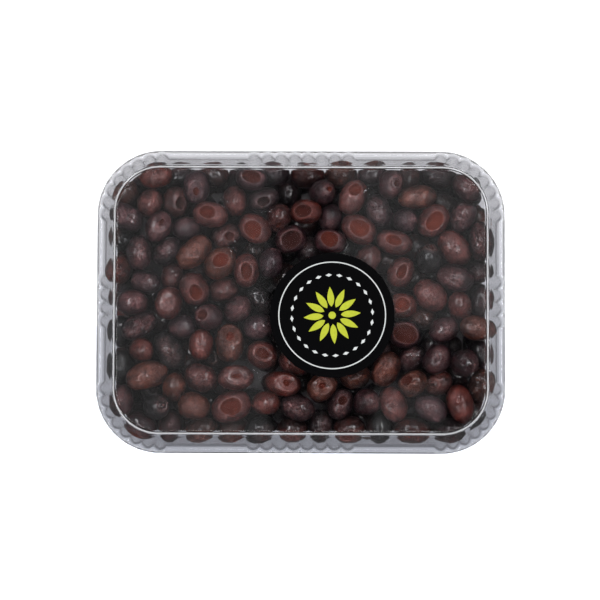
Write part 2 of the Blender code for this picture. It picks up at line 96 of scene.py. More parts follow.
def corner_station(place):
    """A point of the corner at +X, +Y, placed in flutes from the middle of its arc."""
    along = max(-1.0, min(1.0, place / FLUTES_IN_HALF_ARC))
    angle = math.radians(45 + 45 * along)
    past_arc = max(abs(place) - FLUTES_IN_HALF_ARC, 0) * FLUTE_PITCH
    x = CORE_HALF_LENGTH - (past_arc if place > 0 else 0)
    y = CORE_HALF_WIDTH - (past_arc if place < 0 else 0)
    return x, y, math.cos(angle), math.sin(angle), place


def outline_stations():
    """Points once round the core rectangle: x, y, outward x, outward y and place in flutes."""
    short_side = [step / FLUTE_STEPS for step in range(FLUTES_ON_SHORT_SIDE // 2 * FLUTE_STEPS + 1)]
    long_side = [step / FLUTE_STEPS for step in range(FLUTES_ON_LONG_SIDE // 2 * FLUTE_STEPS + 1)]
    corner_end = FLUTES_AT_CORNER // 2 * FLUTE_STEPS
    quarter = [(CORE_HALF_LENGTH, place * FLUTE_PITCH, 1.0, 0.0, place) for place in short_side]
    quarter += [corner_station(step / FLUTE_STEPS) for step in range(-corner_end, corner_end + 1)]
    quarter += [(place * FLUTE_PITCH, CORE_HALF_WIDTH, 0.0, 1.0, place) for place in reversed(long_side)]
    half = quarter + [(-x, y, -ox, oy, place) for x, y, ox, oy, place in reversed(quarter[:-1])]
    return np.array(half + [(x, -y, ox, -oy, place) for x, y, ox, oy, place in reversed(half[1:-1])])


stations = outline_stations()


def unit(vectors):
    return vectors / np.linalg.norm(vectors, axis=-1, keepdims=True)


def round_off(corners):
    """Turns corners (reach, height, swell of the flutes, rounding) into one smooth section."""
    section = []
    for index, (*here, rounding) in enumerate(corners):
        here = np.array(here)
        if rounding == 0:
            section.append(here)
            continue
        ends = []
        for neighbour in (corners[index - 1], corners[index + 1]):
            way = np.array(neighbour[:3]) - here
            length = np.linalg.norm(way[:2])
            ends.append(here + way * min(rounding / length, LONGEST_ROUNDING))
        for share in np.linspace(0, 1, ROUNDING_STEPS + 1):
            section.append((1 - share) ** 2 * ends[0] + 2 * share * (1 - share) * here + share ** 2 * ends[1])
    return np.array(section)


def closed_sheet(name, corners, thickness, finish):
    """Sweeps a section round the pack and gives it the sheet's thickness as one closed skin."""
    outside = round_off(corners)
    along = np.gradient(outside[:, :2], axis=0)
    across = unit(np.column_stack((-along[:, 1], along[:, 0])))
    inside = np.column_stack((outside[:, :2] + across * thickness, outside[:, 2]))
    section = np.concatenate((outside, inside[::-1]))
    swell = FLUTE_DEPTH * np.abs(np.sin(math.pi * stations[:, 4]))
    out = section[:, :1] + section[:, 2:] * swell[None]
    points = np.empty((len(section), len(stations), 3))
    points[:, :, 0] = stations[:, 0] + stations[:, 2] * out
    points[:, :, 1] = stations[:, 1] + stations[:, 3] * out
    points[:, :, 2] = section[:, 1:2]
    around = len(stations)
    faces = []
    for row in range(len(section) - 1):
        for step in range(around):
            following = (step + 1) % around
            first, second = row * around, (row + 1) * around
            faces.append((first + step, first + following, second + following, second + step))
    last = (len(section) - 1) * around
    faces += [tuple(range(around)), tuple(last + step for step in range(around))]
    return add_piece(name, points.reshape(-1, 3), faces, finish, crease=50)


def add_piece(name, points, faces, finish, crease=180):
    """A closed piece at the origin, its faces turned outwards, smooth up to the crease angle."""
    mesh = bpy.data.meshes.new(name)
    mesh.from_pydata(points.tolist() if hasattr(points, "tolist") else points, [], faces)
    shape = bmesh.new()
    shape.from_mesh(mesh)
    bmesh.ops.triangulate(shape, faces=[face for face in shape.faces if len(face.verts) > 4])
    bmesh.ops.recalc_face_normals(shape, faces=shape.faces)
    shape.to_mesh(mesh)
    shape.free()
    mesh.materials.append(finish)
    mesh.shade_smooth()
    mesh.set_sharp_from_angle(angle=math.radians(crease))
    made = bpy.data.objects.new(name, mesh)
    bpy.context.scene.collection.objects.link(made)
    return made


def add_node(material, kind, inputs=None, **settings):
    """Adds a node to a material; an input is a value or the socket that feeds it."""
    tree = material.node_tree
    made = tree.nodes.new(kind)
    for setting, value in settings.items():
        setattr(made, setting, value)
    for key, value in (inputs or {}).items():
        if isinstance(value, bpy.types.NodeSocket):
            tree.links.new(value, made.inputs[key])
        else:
            made.inputs[key].default_value = value
    return made


def new_material(name):
    """A material, its shader, its output and where a point lies on its piece, in metres."""
    made = bpy.data.materials.new(name)
    made.use_nodes = True
    place = add_node(made, "ShaderNodeTexCoord").outputs["Object"]
    return made, made.node_tree.nodes["Principled BSDF"], made.node_tree.nodes["Material Output"], place


def wire(material, source, target):
    material.node_tree.links.new(source, target)


def noise(material, place, scale, detail, distortion=0.0):
    """Cloudy noise round 0.5, with about so many clouds to the metre."""
    made = add_node(material, "ShaderNodeTexNoise", {
        "Vector": place, "Scale": scale, "Detail": detail, "Distortion": distortion})
    return made.outputs["Fac"]


def bump(material, height, strength, depth, under=None, **settings):
    """Relief as deep as depth where the height goes from 0 to 1, over another relief if given."""
    inputs = {"Height": height, "Strength": strength, "Distance": depth}
    if under is not None:
        inputs["Normal"] = under
    return add_node(material, "ShaderNodeBump", inputs, **settings).outputs["Normal"]


def blend_finishes(material, share, first, second):
    return add_node(material, "ShaderNodeMixShader", {0: share, 1: first, 2: second}).outputs["Shader"]


def clear_plastic(name, bends_light, bowing, clear_share):
    """Clear sheet, bowed a little, with a painted highlight in diffuse white where the mesh marks one, that
    lets soft light to the fruit.

    The clear share passes light straight on, which softens the dark lines of the sheet's bends.
    """
    material, plastic, output, place = new_material(name)
    plastic.inputs["Base Color"].default_value = PLASTIC_TINT
    plastic.inputs["Transmission Weight"].default_value = 1
    plastic.inputs["Roughness"].default_value = PLASTIC_ROUGHNESS
    plastic.inputs["IOR"].default_value = bends_light
    bows = noise(material, place, BOWS_SCALE, 2)
    wire(material, bump(material, bows, 1, bowing), plastic.inputs["Normal"])
    straight = add_node(material, "ShaderNodeBsdfTransparent", {"Color": PLASTIC_TINT}).outputs["BSDF"]
    white = add_node(material, "ShaderNodeBsdfDiffuse", {"Color": PAINTED_HIGHLIGHT_WHITE}).outputs["BSDF"]
    # Painted highlight: where marked, the sheet is mixed with diffuse white.
    folded = add_node(material, "ShaderNodeAttribute", attribute_name="painted_bead_highlight").outputs["Fac"]
    shadow_ray = add_node(material, "ShaderNodeLightPath").outputs["Is Shadow Ray"]
    sheet = blend_finishes(material, folded, plastic.outputs["BSDF"], white)
    sheet = blend_finishes(material, clear_share, sheet, straight)
    sheet = blend_finishes(material, shadow_ray, sheet, straight)
    wire(material, sheet, output.inputs["Surface"])
    return material


tray_plastic = clear_plastic("tray plastic", TRAY_BENDS_LIGHT, TRAY_BOWING, TRAY_CLEAR_SHARE)
tray = closed_sheet("tray_sheet", (
    (BASE_REACH - 1.5 * MM, BASE_RISE, 0, 0),
    (BASE_REACH, BASE_RISE, 0, 0.8 * MM),
    (FOOT_REACHES[0], 0, 0, 0.6 * MM),
    (FOOT_REACHES[1], 0, 0, 1.2 * MM),
    (TRAY_WALL_FOOT_REACH, TRAY_WALL_FOOT, 0, 1.5 * MM),
    (TRAY_WALL_FOOT_REACH + 0.4 * MM, TRAY_FLUTE_FOOT, 0.1, 2 * MM),
    (TRAY_FLUTE_REACH, TRAY_FLUTE_TOP, 1, 2.5 * MM),
    (TRAY_WALL_TOP_REACH - 0.3 * MM, TRAY_FLANGE_TOP - TRAY_WALL, 1.4, 2 * MM),
    (TRAY_FLANGE_REACH, TRAY_FLANGE_TOP - TRAY_WALL, 0, 0),
), TRAY_WALL, tray_plastic)
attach(tray, "root")
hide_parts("tray")


# The olives
# Dark table olives, cured and stoned, 11 to 15 mm thick. Each has a hole where the stone
# was pressed out, or the dent of the press, and a wrinkled moist skin. They lie loose in
# the tray, the top ones touching the lid.
OLIVES = 420
OLIVE_LENGTHS = (15.5 * MM, 19.5 * MM)
OLIVE_WIDTHS = (11.4 * MM, 14 * MM)
# The olives under the lid, placed one by one: how far right of and behind the tray's middle
# each one lies, how far its long axis is turned, its length and width, and how far it
# stands up. Millimetres and degrees.
TOP_OLIVES = (
    (-69, 56, 10, 16, 12, 0), (-82, 40, -20, 17, 12, 0), (-48, 52, 75, 16, 12.5, 0),
    (-42, 40, 0, 17, 12, 0), (-65, 35, 70, 15.5, 12, 0), (-50.5, 22, 50, 19.5, 12.5, 0),
    (-38, 17, 58, 17, 13.5, 0), (-77, 21, 85, 17, 12, 0), (-50.5, 5, -58, 16.5, 13.5, 0),
    (-61, -2, 75, 15.5, 13, 0), (-23.5, 57, -10, 15, 11.5, 0), (10, 50, 20, 14, 12, 60),
    (23.5, 48, 60, 17, 12.5, 0), (3, 40.5, -5, 15, 11.5, 0), (-22.5, 32.5, -35, 16.5, 13, 0),
    (-5, 29, 30, 15, 12.5, 0), (14, 28.5, -5, 15.5, 11.5, 0), (26, 33, -28, 17.5, 13, 0),
    (-25, 15, 88, 16, 12, 0), (36, 43, 98, 17, 12, 0), (53, 49, -5, 18.5, 11.5, 0),
    (48, 38, 0, 15, 11.5, 70), (61.5, 37, 50, 17, 13.5, 0), (76, 40, 60, 15.5, 12, 0),
    (77, 52, -45, 16.5, 11.5, 0), (43.5, 27.5, -8, 17.5, 11.5, 0), (71.5, 25.5, -50, 18, 13.5, 0),
    (58.5, 20, 85, 15, 12, 40), (46, 13.5, 60, 15.5, 12, 0), (84, 27, 92, 19, 12, 0),
    (72, 10, 3, 18.5, 13, 0), (60.5, 0, -30, 17.5, 13.5, 0), (48, -2, 0, 14, 12, 0),
    (49.5, -15, -10, 15, 13, 0), (67, -12, 20, 14.5, 12, 0), (82, -13, -22, 18, 12, 0),
    (61, -26.5, 60, 15, 12.5, 0), (75.5, -28, 0, 14.5, 13, 50), (41, -31, 50, 17.5, 12.5, 0),
    (43.5, -47, 92, 17, 12.5, 0), (60.5, -50, -30, 16.5, 12, 0), (72, -44.5, -55, 18, 12.5, 0),
    (30, -46.5, 0, 14.5, 12.5, 55), (-33.5, -19, 88, 18.5, 13.5, 0), (-17.5, -25, -20, 15, 13, 0),
    (-30.5, -36, 0, 17, 12, 0), (-8, -38, -5, 16.5, 11.5, 0), (11, -40.5, 40, 15.5, 12.5, 0),
    (-32, -52, 25, 19.5, 14.5, 0), (-2, -50, -15, 16.5, 12, 0), (-76, -11, 30, 18.5, 11, 0),
    (-44.5, -7, 0, 14.5, 12.5, 25), (-74, -23, 0, 14, 11.5, 70), (-61, -23, -60, 19, 13, 0),
    (-47, -21, 88, 14.5, 11.5, 0), (-70.5, -35.5, 0, 20, 13, 0), (-47, -35.5, -22, 16, 13, 0),
    (-82, -46, 88, 15.5, 11.5, 0), (-66.5, -48.5, 0, 14, 12, 70), (-50.5, -48, -20, 15.5, 12.5, 0),
)
# Olives that show past the bead, against the walls, given in the same way.
WALL_OLIVES = (
    (-74.5, 61, 20, 16, 12, 0), (-56, 63, 5, 16, 12, 0), (-41.5, 63, 0, 15.5, 12, 0),
    (-30, 64, 90, 15, 11.5, 0), (-13, 62.5, 0, 16, 11.5, 0), (3, 61, 0, 16.5, 12.5, 0),
    (19.5, 61, 0, 15.5, 12.5, 0), (33, 63.5, 0, 15, 11.5, 0), (49.5, 61.5, 80, 16, 12, 0),
    (63.5, 60, -8, 18, 12.5, 0), (86, 2.5, 88, 16, 12, 0), (87, -25, 85, 15.5, 11.5, 0),
    (83, -39, 70, 17, 12, 0), (79, -54, 45, 15.5, 12, 0), (69, -58, 15, 17.5, 12, 0),
    (52.5, -60, -5, 18, 12.5, 0), (37, -61.5, 90, 16, 12, 0), (21.5, -59.5, 0, 15.5, 12.5, 0),
    (9, -58.5, 80, 16, 11.5, 0), (-4, -60, 0, 15.5, 12, 0), (-18.5, -62, 10, 16, 12.5, 0),
    (-32.5, -64, 0, 16, 12, 0), (-46.5, -61, 0, 17.5, 12.5, 0), (-59, -61, 80, 16, 12, 0),
    (-74.5, -60, -20, 17, 12, 0), (-88, -28.5, 90, 17.5, 12.5, 0), (-88, -13.5, 90, 15.5, 11.5, 0),
    (-88, 0.5, 85, 15.5, 12, 0), (-87, 13, 80, 16, 12, 0), (-88, 27.5, 88, 16, 12, 0),
    (-83, 52.5, 60, 16, 12, 0),
)
# Olives that show in the gaps between those, a little lower, given in the same way.
GAP_OLIVES = (
    (-69.5, 46, 60, 14.5, 12, 0), (-58.5, 47.5, 75, 15.5, 12, 0), (-19.5, 46.5, 10, 16, 11.5, 0),
    (-29.5, 45.5, 80, 15, 11.5, 0), (-10.5, 40, 60, 15, 11.5, 40), (-34.5, 31, 30, 15.5, 12, 0),
    (-53, 34.5, 20, 15, 11.5, 0), (-61.5, 24, 60, 15.5, 11.5, 0), (-60.5, 11.5, 80, 14.5, 11.5, 30),
    (-70, 8.5, 0, 15, 11.5, 0), (-35, 4.5, 10, 15, 12, 0), (-13.5, 17, 70, 15, 11.5, 0),
    (13.5, 40, 80, 15, 11.5, 30), (41.5, 54, 70, 15, 11.5, 0), (32.5, 21.5, 60, 15, 11.5, 0),
    (81, 14.5, 20, 15, 11.5, 0), (72, -1, 90, 15, 11.5, 30), (57, -6, 20, 15, 11.5, 0),
    (52.5, -25.5, 20, 15.5, 12, 0), (63.5, -37, 0, 15, 11.5, 30), (52, -38, 20, 15.5, 12, 0),
    (25, -34, 10, 15, 12, 0), (18.5, -48, 60, 15.5, 11.5, 0), (-81, 1, 0, 15, 12, 0),
    (-55, -11.5, 10, 15, 11.5, 30), (-30, -3, 45, 15.5, 12, 0), (-20, -11, 0, 15.5, 12, 0),
    (-3.5, -29, -20, 16, 12, 0), (-59.5, -40, 90, 15, 11.5, 40), (-16, -46.5, 0, 15, 11.5, 40),
)
PLACED_OLIVES = TOP_OLIVES + WALL_OLIVES + GAP_OLIVES
TOP_OLIVE_HEIGHT = 42.3 * MM
WALL_OLIVE_HEIGHT = 36 * MM
GAP_OLIVE_HEIGHT = 40.5 * MM
HEAP_FLOOR = 2.6 * MM
HEAP_CEILING = 50 * MM
HEAP_MARGIN = 0.4 * MM
# They are settled as three balls each, a little smaller at the ends. They start small, grow
# while they are pushed clear of each other and of the plastic, and sink.
HEAP_SEED = 7
END_BALL = 0.84
FIRST_SIZE = 0.4
GROWING_STEPS = 200
SETTLING_STEPS = 700
QUIET_STEPS = 150
STEP_SHARE = 0.7
SINKING = 0.25 * MM
HOLD_SHARE = 0.5
PAIRING_STEPS = 5
PAIRING_SLACK = 2 * MM
PLACE_DECIMALS = 7

# The lid's inner wall, which keeps the olives in.
PANEL_TOP = 51 * MM
LID_WALL_TOP_REACH = 22.2 * MM
LID_WALL_FOOT_REACH = 27.7 * MM
LID_FLANGE_TOP = 41.2 * MM
LID_WALL = 0.6 * MM


def inner_walls():
    """The leaning inner faces of tray and lid: lower height and reach, then upper."""
    tray_face = (TRAY_WALL_FOOT + TRAY_WALL, TRAY_WALL_FOOT_REACH - TRAY_WALL,
                 TRAY_FLANGE_TOP, TRAY_WALL_TOP_REACH - TRAY_WALL)
    lid_face = (LID_FLANGE_TOP - LID_WALL, LID_WALL_FOOT_REACH - LID_WALL,
                PANEL_TOP - LID_WALL, LID_WALL_TOP_REACH - LID_WALL)
    return tray_face, lid_face


def room_at(height):
    """How far the pack's inside reaches past the core rectangle at a height."""
    reaches = [low_reach + (height - low) * (high_reach - low_reach) / (high - low)
               for low, low_reach, high, high_reach in inner_walls()]
    return np.minimum(*reaches)


def start_olives(rng):
    """Centres, long axes, half lengths and half widths, the placed olives first."""
    rows = np.array(PLACED_OLIVES)
    placed = len(rows)
    half_length = rng.uniform(*OLIVE_LENGTHS, OLIVES) / 2
    half_width = rng.uniform(*OLIVE_WIDTHS, OLIVES) / 2
    half_length[:placed] = rows[:, 3] * MM / 2
    half_width[:placed] = rows[:, 4] * MM / 2
    limits = np.array((CORE_HALF_LENGTH, CORE_HALF_WIDTH)) + FOOT_REACHES[1]
    centre = rng.uniform(-1, 1, (OLIVES, 3)) * (*limits, 1)
    centre[:, 2] = rng.uniform(HEAP_FLOOR, TOP_OLIVE_HEIGHT, OLIVES)
    centre[:placed, :2] = rows[:, :2] * MM
    centre[:placed, 2] = GAP_OLIVE_HEIGHT
    centre[:placed - len(GAP_OLIVES), 2] = WALL_OLIVE_HEIGHT
    centre[:len(TOP_OLIVES), 2] = TOP_OLIVE_HEIGHT
    axis = rng.normal(size=(OLIVES, 3)) * (1, 1, 0.6)
    turn, lift = np.radians(rows[:, 2]), np.radians(rows[:, 5])
    axis[:placed] = np.stack((np.cos(turn) * np.cos(lift), np.sin(turn) * np.cos(lift), np.sin(lift)), 1)
    return centre, unit(axis), half_length, half_width


def push(centre_move, axis_turn, who, axis, offset, direction, depth, inertia):
    """Shares a push at one ball of an olive between moving its centre and turning it."""
    lever = np.cross(axis[who] * offset[:, None], direction)
    amount = depth / (1 + (lever ** 2).sum(1) / inertia[who])
    np.add.at(centre_move, who, direction * amount[:, None])
    np.add.at(axis_turn, who, lever * (amount / inertia[who])[:, None])


def part_pairs(balls, radii, offsets, axis, pairs, inertia):
    """Pushes each pair of olives apart at the two balls that overlap most."""
    first, second = pairs
    between = balls[first][:, :, None] - balls[second][:, None]
    distance = np.linalg.norm(between, axis=3)
    overlap = radii[first][:, :, None] + radii[second][:, None] - distance
    deepest = overlap.reshape(len(first), 9).argmax(1)
    ball, other = deepest // 3, deepest % 3
    rows = np.arange(len(first))
    depth = np.maximum(overlap[rows, ball, other], 0)
    direction = between[rows, ball, other] / np.maximum(distance[rows, ball, other], 1e-9)[:, None]
    move, turn = np.zeros_like(axis), np.zeros_like(axis)
    push(move, turn, first, axis, offsets[first, ball], direction, depth / 2, inertia)
    push(move, turn, second, axis, offsets[second, other], -direction, depth / 2, inertia)
    return move, turn


def past_core(place):
    """Outward direction from the core rectangle, and how far past it each place lies."""
    beyond = np.abs(place[:, :2]) - (CORE_HALF_LENGTH, CORE_HALF_WIDTH)
    corner = np.maximum(beyond, 0)
    distance = np.linalg.norm(corner, axis=1)
    nearest = (beyond == beyond.max(1)[:, None]).astype(float)
    outward = np.where(distance[:, None] > 0, corner / np.maximum(distance, 1e-9)[:, None], nearest)
    return outward * np.sign(place[:, :2]), np.where(distance > 0, distance, beyond.max(1))


def keep_inside(balls, radii, offsets, axis, inertia):
    """Pushes the olives in from the leaning walls, up from the base and down from the lid."""
    everyone = np.arange(len(axis))
    move, turn = np.zeros_like(axis), np.zeros_like(axis)
    upward = np.tile((0.0, 0.0, 1.0), (len(axis), 1))
    for ball in range(3):
        place, radius, offset = balls[:, ball], radii[:, ball], offsets[:, ball]
        outward, distance = past_core(place)
        below, above = HEAP_FLOOR + radius - place[:, 2], place[:, 2] + radius - HEAP_CEILING
        pushes = [(upward, below), (-upward, above)]
        for low, low_reach, high, high_reach in inner_walls():
            lean = math.atan2(high_reach - low_reach, high - low)
            reach = low_reach + (place[:, 2] - low) * math.tan(lean)
            inward = np.column_stack((-outward * math.cos(lean), upward[:, 2] * math.sin(lean)))
            pushes.append((inward, radius + HEAP_MARGIN - (reach - distance) * math.cos(lean)))
        for direction, depth in pushes:
            push(move, turn, everyone, axis, offset, direction, np.maximum(depth, 0), inertia)
    return move, turn


def settle_olives():
    """Grows the olives to full size while they push each other apart and sink.

    Places are rounded at each step, so that every computer settles them alike.
    """
    rng = np.random.default_rng(HEAP_SEED)
    centre, axis, half_length, half_width = start_olives(rng)
    placed = len(PLACED_OLIVES)
    home, home_axis = centre[:placed].copy(), axis[:placed].copy()
    end_radius = half_width * END_BALL
    end_offset = half_length - end_radius
    radii = np.stack((end_radius, half_width, end_radius), 1)
    offsets = np.stack((-end_offset, 0 * end_offset, end_offset), 1)
    inertia = (half_length ** 2 + half_width ** 2) / 5
    for step in range(SETTLING_STEPS):
        size = min(1.0, FIRST_SIZE + (1 - FIRST_SIZE) * step / GROWING_STEPS)
        if step % PAIRING_STEPS == 0:
            gap = np.linalg.norm(centre[:, None] - centre[None], axis=2)
            reach = half_length[:, None] + half_length[None] + PAIRING_SLACK
            pairs = np.nonzero(np.triu(gap < reach, 1))
        balls = centre[:, None] + axis[:, None] * (offsets * size)[:, :, None]
        move, turn = part_pairs(balls, radii * size, offsets * size, axis, pairs, inertia)
        centre += STEP_SHARE * move
        axis = unit(axis + STEP_SHARE * np.cross(turn, axis))
        centre[placed:, 2] -= SINKING * max(0.0, 1 - step / (SETTLING_STEPS - QUIET_STEPS))
        hold = HOLD_SHARE * (1 - step / SETTLING_STEPS)
        centre[:placed] += hold * (home - centre[:placed])
        axis[:placed] = unit(axis[:placed] + hold * (home_axis - axis[:placed]))
        balls = centre[:, None] + axis[:, None] * (offsets * size)[:, :, None]
        move, turn = keep_inside(balls, radii * size, offsets * size, axis, inertia)
        centre = np.round(centre + STEP_SHARE * move, PLACE_DECIMALS)
        axis = np.round(unit(axis + STEP_SHARE * np.cross(turn, axis)), PLACE_DECIMALS)
    return centre, axis, half_length, half_width


def depth_inside(place):
    """How deep each olive's middle lies inside the wall, under the lid and over the base."""
    _, distance = past_core(place)
    return room_at(place[:, 2]) - distance, HEAP_CEILING - place[:, 2], place[:, 2] - HEAP_FLOOR


def srgb(*levels):
    """A colour in the 0 to 255 levels of a screen, as linear light."""
    return tuple(level / 255 / 12.92 if level < 11 else ((level / 255 + 0.055) / 1.055) ** 2.4
                 for level in levels)


# Skins as they ripen and cure, the flesh that a hole shows, and the pale colour of the rims round holes and
# of the painted sheen.
SKINS = {
    "red": srgb(74, 29, 20),
    "brown": srgb(74, 40, 26),
    "plum": srgb(46, 22, 26),
    "pink": srgb(73, 39, 35),
    "slate": srgb(47, 32, 37),
    "black": srgb(20, 19, 20),
}
DULL_FLESH = (*srgb(34, 10, 7), 1)
BRIGHT_FLESH = (*srgb(82, 28, 13), 1)
PALE_AND_SHEEN_SKIN = (*srgb(132, 88, 83), 1)
# What the skin's colour is multiplied by: in its random mottling, as painted shade in its creases and
# furrows, and as painted shade deep in the heap.
DEEP_TINT = (0.2, 0.13, 0.15, 1)
LIGHT_TINT = (0.8, 0.62, 0.6, 1)
PAINTED_CREASE_SHADE = (0.36, 0.30, 0.32, 1)
PAINTED_FURROW_SHADE = (0.45, 0.38, 0.4, 1)
SHADE_TINT = (0.12, 0.10, 0.11, 1)
# Where that painted shade deep in the heap begins and where it is full, in from the plastic.
SHADED_DEPTHS = (1.8 * MM, 11 * MM)
# About how many of each mark fit in a metre.
BLOTCHES_SCALE = 260
GRAIN_SCALE = 1300
FURROWS_SCALE = 300
LINES_SCALE = 480
WET_PATCHES_SCALE = 420
PORES_SCALE = 700

# How each top olive looks from above: skin, glow of its flesh, wrinkling, the hole's
# length and width, how far it lies from the middle towards the olive's front end, and
# the length and width of the pressed dent round it. Lengths in millimetres.
TOP_FACES = (
    ("red", 0.5, 0.2, 1, 1, 0, 0, 0), ("slate", 0.5, 0.8, 0.9, 0.9, 0, 0, 0),
    ("slate", 0.6, 0.4, 3.7, 2.8, -1.5, 9, 6.6), ("pink", 0.7, 0.2, 7.4, 6.3, -1.5, 0, 0),
    ("plum", 0.3, 0.3, 3.3, 2, 2.5, 10, 8), ("brown", 0.5, 0.3, 1.5, 1.5, 0, 8, 6),
    ("brown", 1, 0.1, 7.9, 6.5, 0, 0, 0), ("plum", 0.5, 0.9, 0.9, 0.9, 2, 0, 0),
    ("pink", 0.8, 0.2, 7.9, 5.6, 0.7, 0, 0), ("pink", 0.5, 0.2, 0.6, 0.6, 0, 9, 7),
    ("slate", 0.3, 0.2, 8.8, 6, 0, 0, 0), ("plum", 0.7, 0.5, 2.4, 2.4, 0, 0, 0),
    ("pink", 0.8, 0.2, 6, 5.8, 3, 0, 0), ("red", 0.3, 0.2, 7.9, 6, 0, 0, 0),
    ("pink", 0.8, 0.1, 8.5, 7.9, 0, 0, 0), ("plum", 0.1, 0.2, 9.2, 8.5, 0, 0, 0),
    ("plum", 0.7, 0.2, 8.5, 7, 0, 0, 0), ("pink", 0.9, 0.1, 10, 7.4, 0, 0, 0),
    ("pink", 0.6, 0.1, 7.9, 5.6, 0, 0, 0), ("slate", 0.5, 1, 0.6, 0.6, 0, 0, 0),
    ("brown", 0.5, 0.4, 0.6, 0.6, 0, 0, 0), ("slate", 0.5, 0.4, 0.9, 0.9, 0, 0, 0),
    ("pink", 1, 0.1, 9.7, 7.4, 0, 0, 0), ("plum", 0.5, 0.8, 0.6, 0.6, 0, 0, 0),
    ("plum", 0.5, 0.5, 0.6, 0.6, 0, 0, 0), ("pink", 1, 0.2, 7.4, 5, 0, 0, 0),
    ("pink", 0.5, 0.1, 0.6, 0.6, 0, 0, 0), ("black", 0.1, 0.3, 4.2, 4.2, 0, 0, 0),
    ("pink", 0.8, 0.3, 8, 4, 0, 0, 0), ("plum", 0.5, 1, 0.6, 0.6, 0, 0, 0),
    ("plum", 0.5, 0.7, 0.6, 0.6, 0, 0, 0), ("pink", 0.5, 0.3, 0.9, 0.9, 0, 0, 0),
    ("red", 1, 0.2, 7, 6, 0, 0, 0), ("plum", 0.3, 0.2, 11, 9.2, 0, 0, 0),
    ("plum", 0.5, 0.3, 0.6, 0.6, 0, 0, 0), ("brown", 0.5, 0.3, 0.6, 0.6, 0, 0, 0),
    ("plum", 0.5, 0.2, 0.6, 0.6, 0, 0, 0), ("plum", 0.5, 1, 0.6, 0.6, 0, 0, 0),
    ("brown", 0.5, 0.5, 1, 1, 0, 0, 0), ("pink", 0.5, 0.2, 1, 1, 0, 6, 5),
    ("slate", 0.5, 0.3, 0.9, 0.9, 0, 0, 0), ("red", 0.5, 0.2, 0.9, 0.9, 0, 0, 0),
    ("plum", 0.5, 0.3, 0.6, 0.6, 0, 0, 0), ("brown", 1, 0.6, 4, 3.7, 3, 12, 9),
    ("red", 0.6, 0.2, 6, 5, 0, 9.2, 7), ("pink", 0.7, 0.3, 4.2, 2.3, 0.5, 10, 8),
    ("red", 0.8, 0.2, 3, 3, 1.5, 9.7, 7.5), ("brown", 0.8, 0.3, 3.7, 2.8, 0, 9, 8),
    ("pink", 0.7, 0.1, 10.2, 7.9, 0, 0, 0), ("plum", 0.5, 0.8, 1.2, 1.2, 0, 0, 0),
    ("plum", 0.5, 1, 0.6, 0.6, 0, 0, 0), ("plum", 0.4, 0.2, 5.2, 5.2, 0, 0, 0),
    ("red", 0.3, 0.3, 1.2, 1.2, 0, 0, 0), ("black", 0.5, 1, 0.6, 0.6, 0, 0, 0),
    ("red", 0.5, 0.2, 0.6, 0.6, 2, 6, 4), ("brown", 0.5, 0.4, 0.6, 0.6, 0, 0, 0),
    ("pink", 0.5, 0.9, 0.6, 0.6, 0, 0, 0), ("plum", 0.5, 0.5, 0.9, 0.9, 0, 0, 0),
    ("black", 0.1, 0.5, 2, 2, 0, 5, 5), ("brown", 0.5, 0.3, 0.6, 0.6, 0, 0, 0),
)
POINTED_OLIVES = (26, 41, 55)
STANDING_LIFT = 30

# Rings of an olive's skin from the middle of its hole: 0 to 1 spans the hole, 1 to 2 the
# dent or the hole's shoulder, 2 to 3 the upper half and 3 to 4 the lower half.
FINE_RINGS = (0.0, 0.4, 0.7, 0.86, 0.95, 1.0, 1.12, 1.3, 1.55, 1.8, 1.95, 2.0, 2.06, 2.15, 2.3,
              2.45, 2.6, 2.75, 2.88, 3.0, 3.15, 3.35, 3.6, 3.82, 4.0)
COARSE_RINGS = (0.0, 0.6, 0.92, 1.0, 1.2, 1.6, 2.0, 2.2, 2.5, 2.8, 3.0, 3.25, 3.6, 4.0)
FINE_SPOKES = 34
COARSE_SPOKES = 16
# The hole, the dent and their lips, the ends, and the soft relief of the skin.
SHOULDER = 2.6 * MM
SMALL_HOLE = 2 * MM
HOLE_DEPTH = 2.4 * MM
DENT_DEPTH = 0.55 * MM
LIP_RISE = 0.12 * MM
WIDEST_DENT = 0.9
BLUNTNESS = 2.3
POINT_LENGTH = 0.1
PIT_SHARE = 0.35
LUMP_WAVELENGTH = 9 * MM
LUMP_HEIGHT = 0.35 * MM
BEND_WAVELENGTH = 5 * MM
CREASE_WAVELENGTHS = (3.4 * MM, 2.6 * MM)
CREASE_DEPTH = 0.6 * MM
ALONG_SHARE = 0.35
PATCH_WAVELENGTH = 4.5 * MM


def soft_waves(place, rng, wavelength, count=6):
    """Random soft relief between -1 and 1: a few sine waves in random directions."""
    ways = unit(rng.normal(size=(count, 3)))
    return np.sin(place @ ways.T * (2 * math.pi / wavelength) + rng.uniform(0, 6.28, count)).mean(1)


def smooth_step(value, low, high):
    share = np.clip((value - low) / (high - low), 0, 1)
    return share * share * (3 - 2 * share)


def edge_on_ball(middle, size, sizes, circle, wobble):
    """The edge of a hole or a dent, as seen from above on the unit ball."""
    edge = middle + circle * wobble[:, None] * size / 2 / sizes[:2]
    return edge * np.minimum(1, WIDEST_DENT / np.linalg.norm(edge, axis=1))[:, None]


def ring_on_ball(ring, middle, hole_edge, dent_edge, circle):
    """One ring of skin on the unit ball, from the middle of the hole round to the underside."""
    if ring <= 1:
        lip_height = np.sqrt(1 - (hole_edge ** 2).sum(1))
        flat = middle + (hole_edge - middle) * ring
        height = lip_height * ring + lip_height.mean() * (1 - ring)
    elif ring <= 2:
        flat = hole_edge + (dent_edge - hole_edge) * (ring - 1)
        height = np.sqrt(1 - (flat ** 2).sum(1))
    elif ring <= 3:
        flat = dent_edge + (circle - dent_edge) * math.sin((ring - 2) * math.pi / 2)
        height = np.sqrt(np.maximum(1 - (flat ** 2).sum(1), 0))
    else:
        flat = circle * math.cos((ring - 3) * math.pi / 2)
        height = np.full(len(circle), -math.sin((ring - 3) * math.pi / 2))
    return np.column_stack((flat, height))


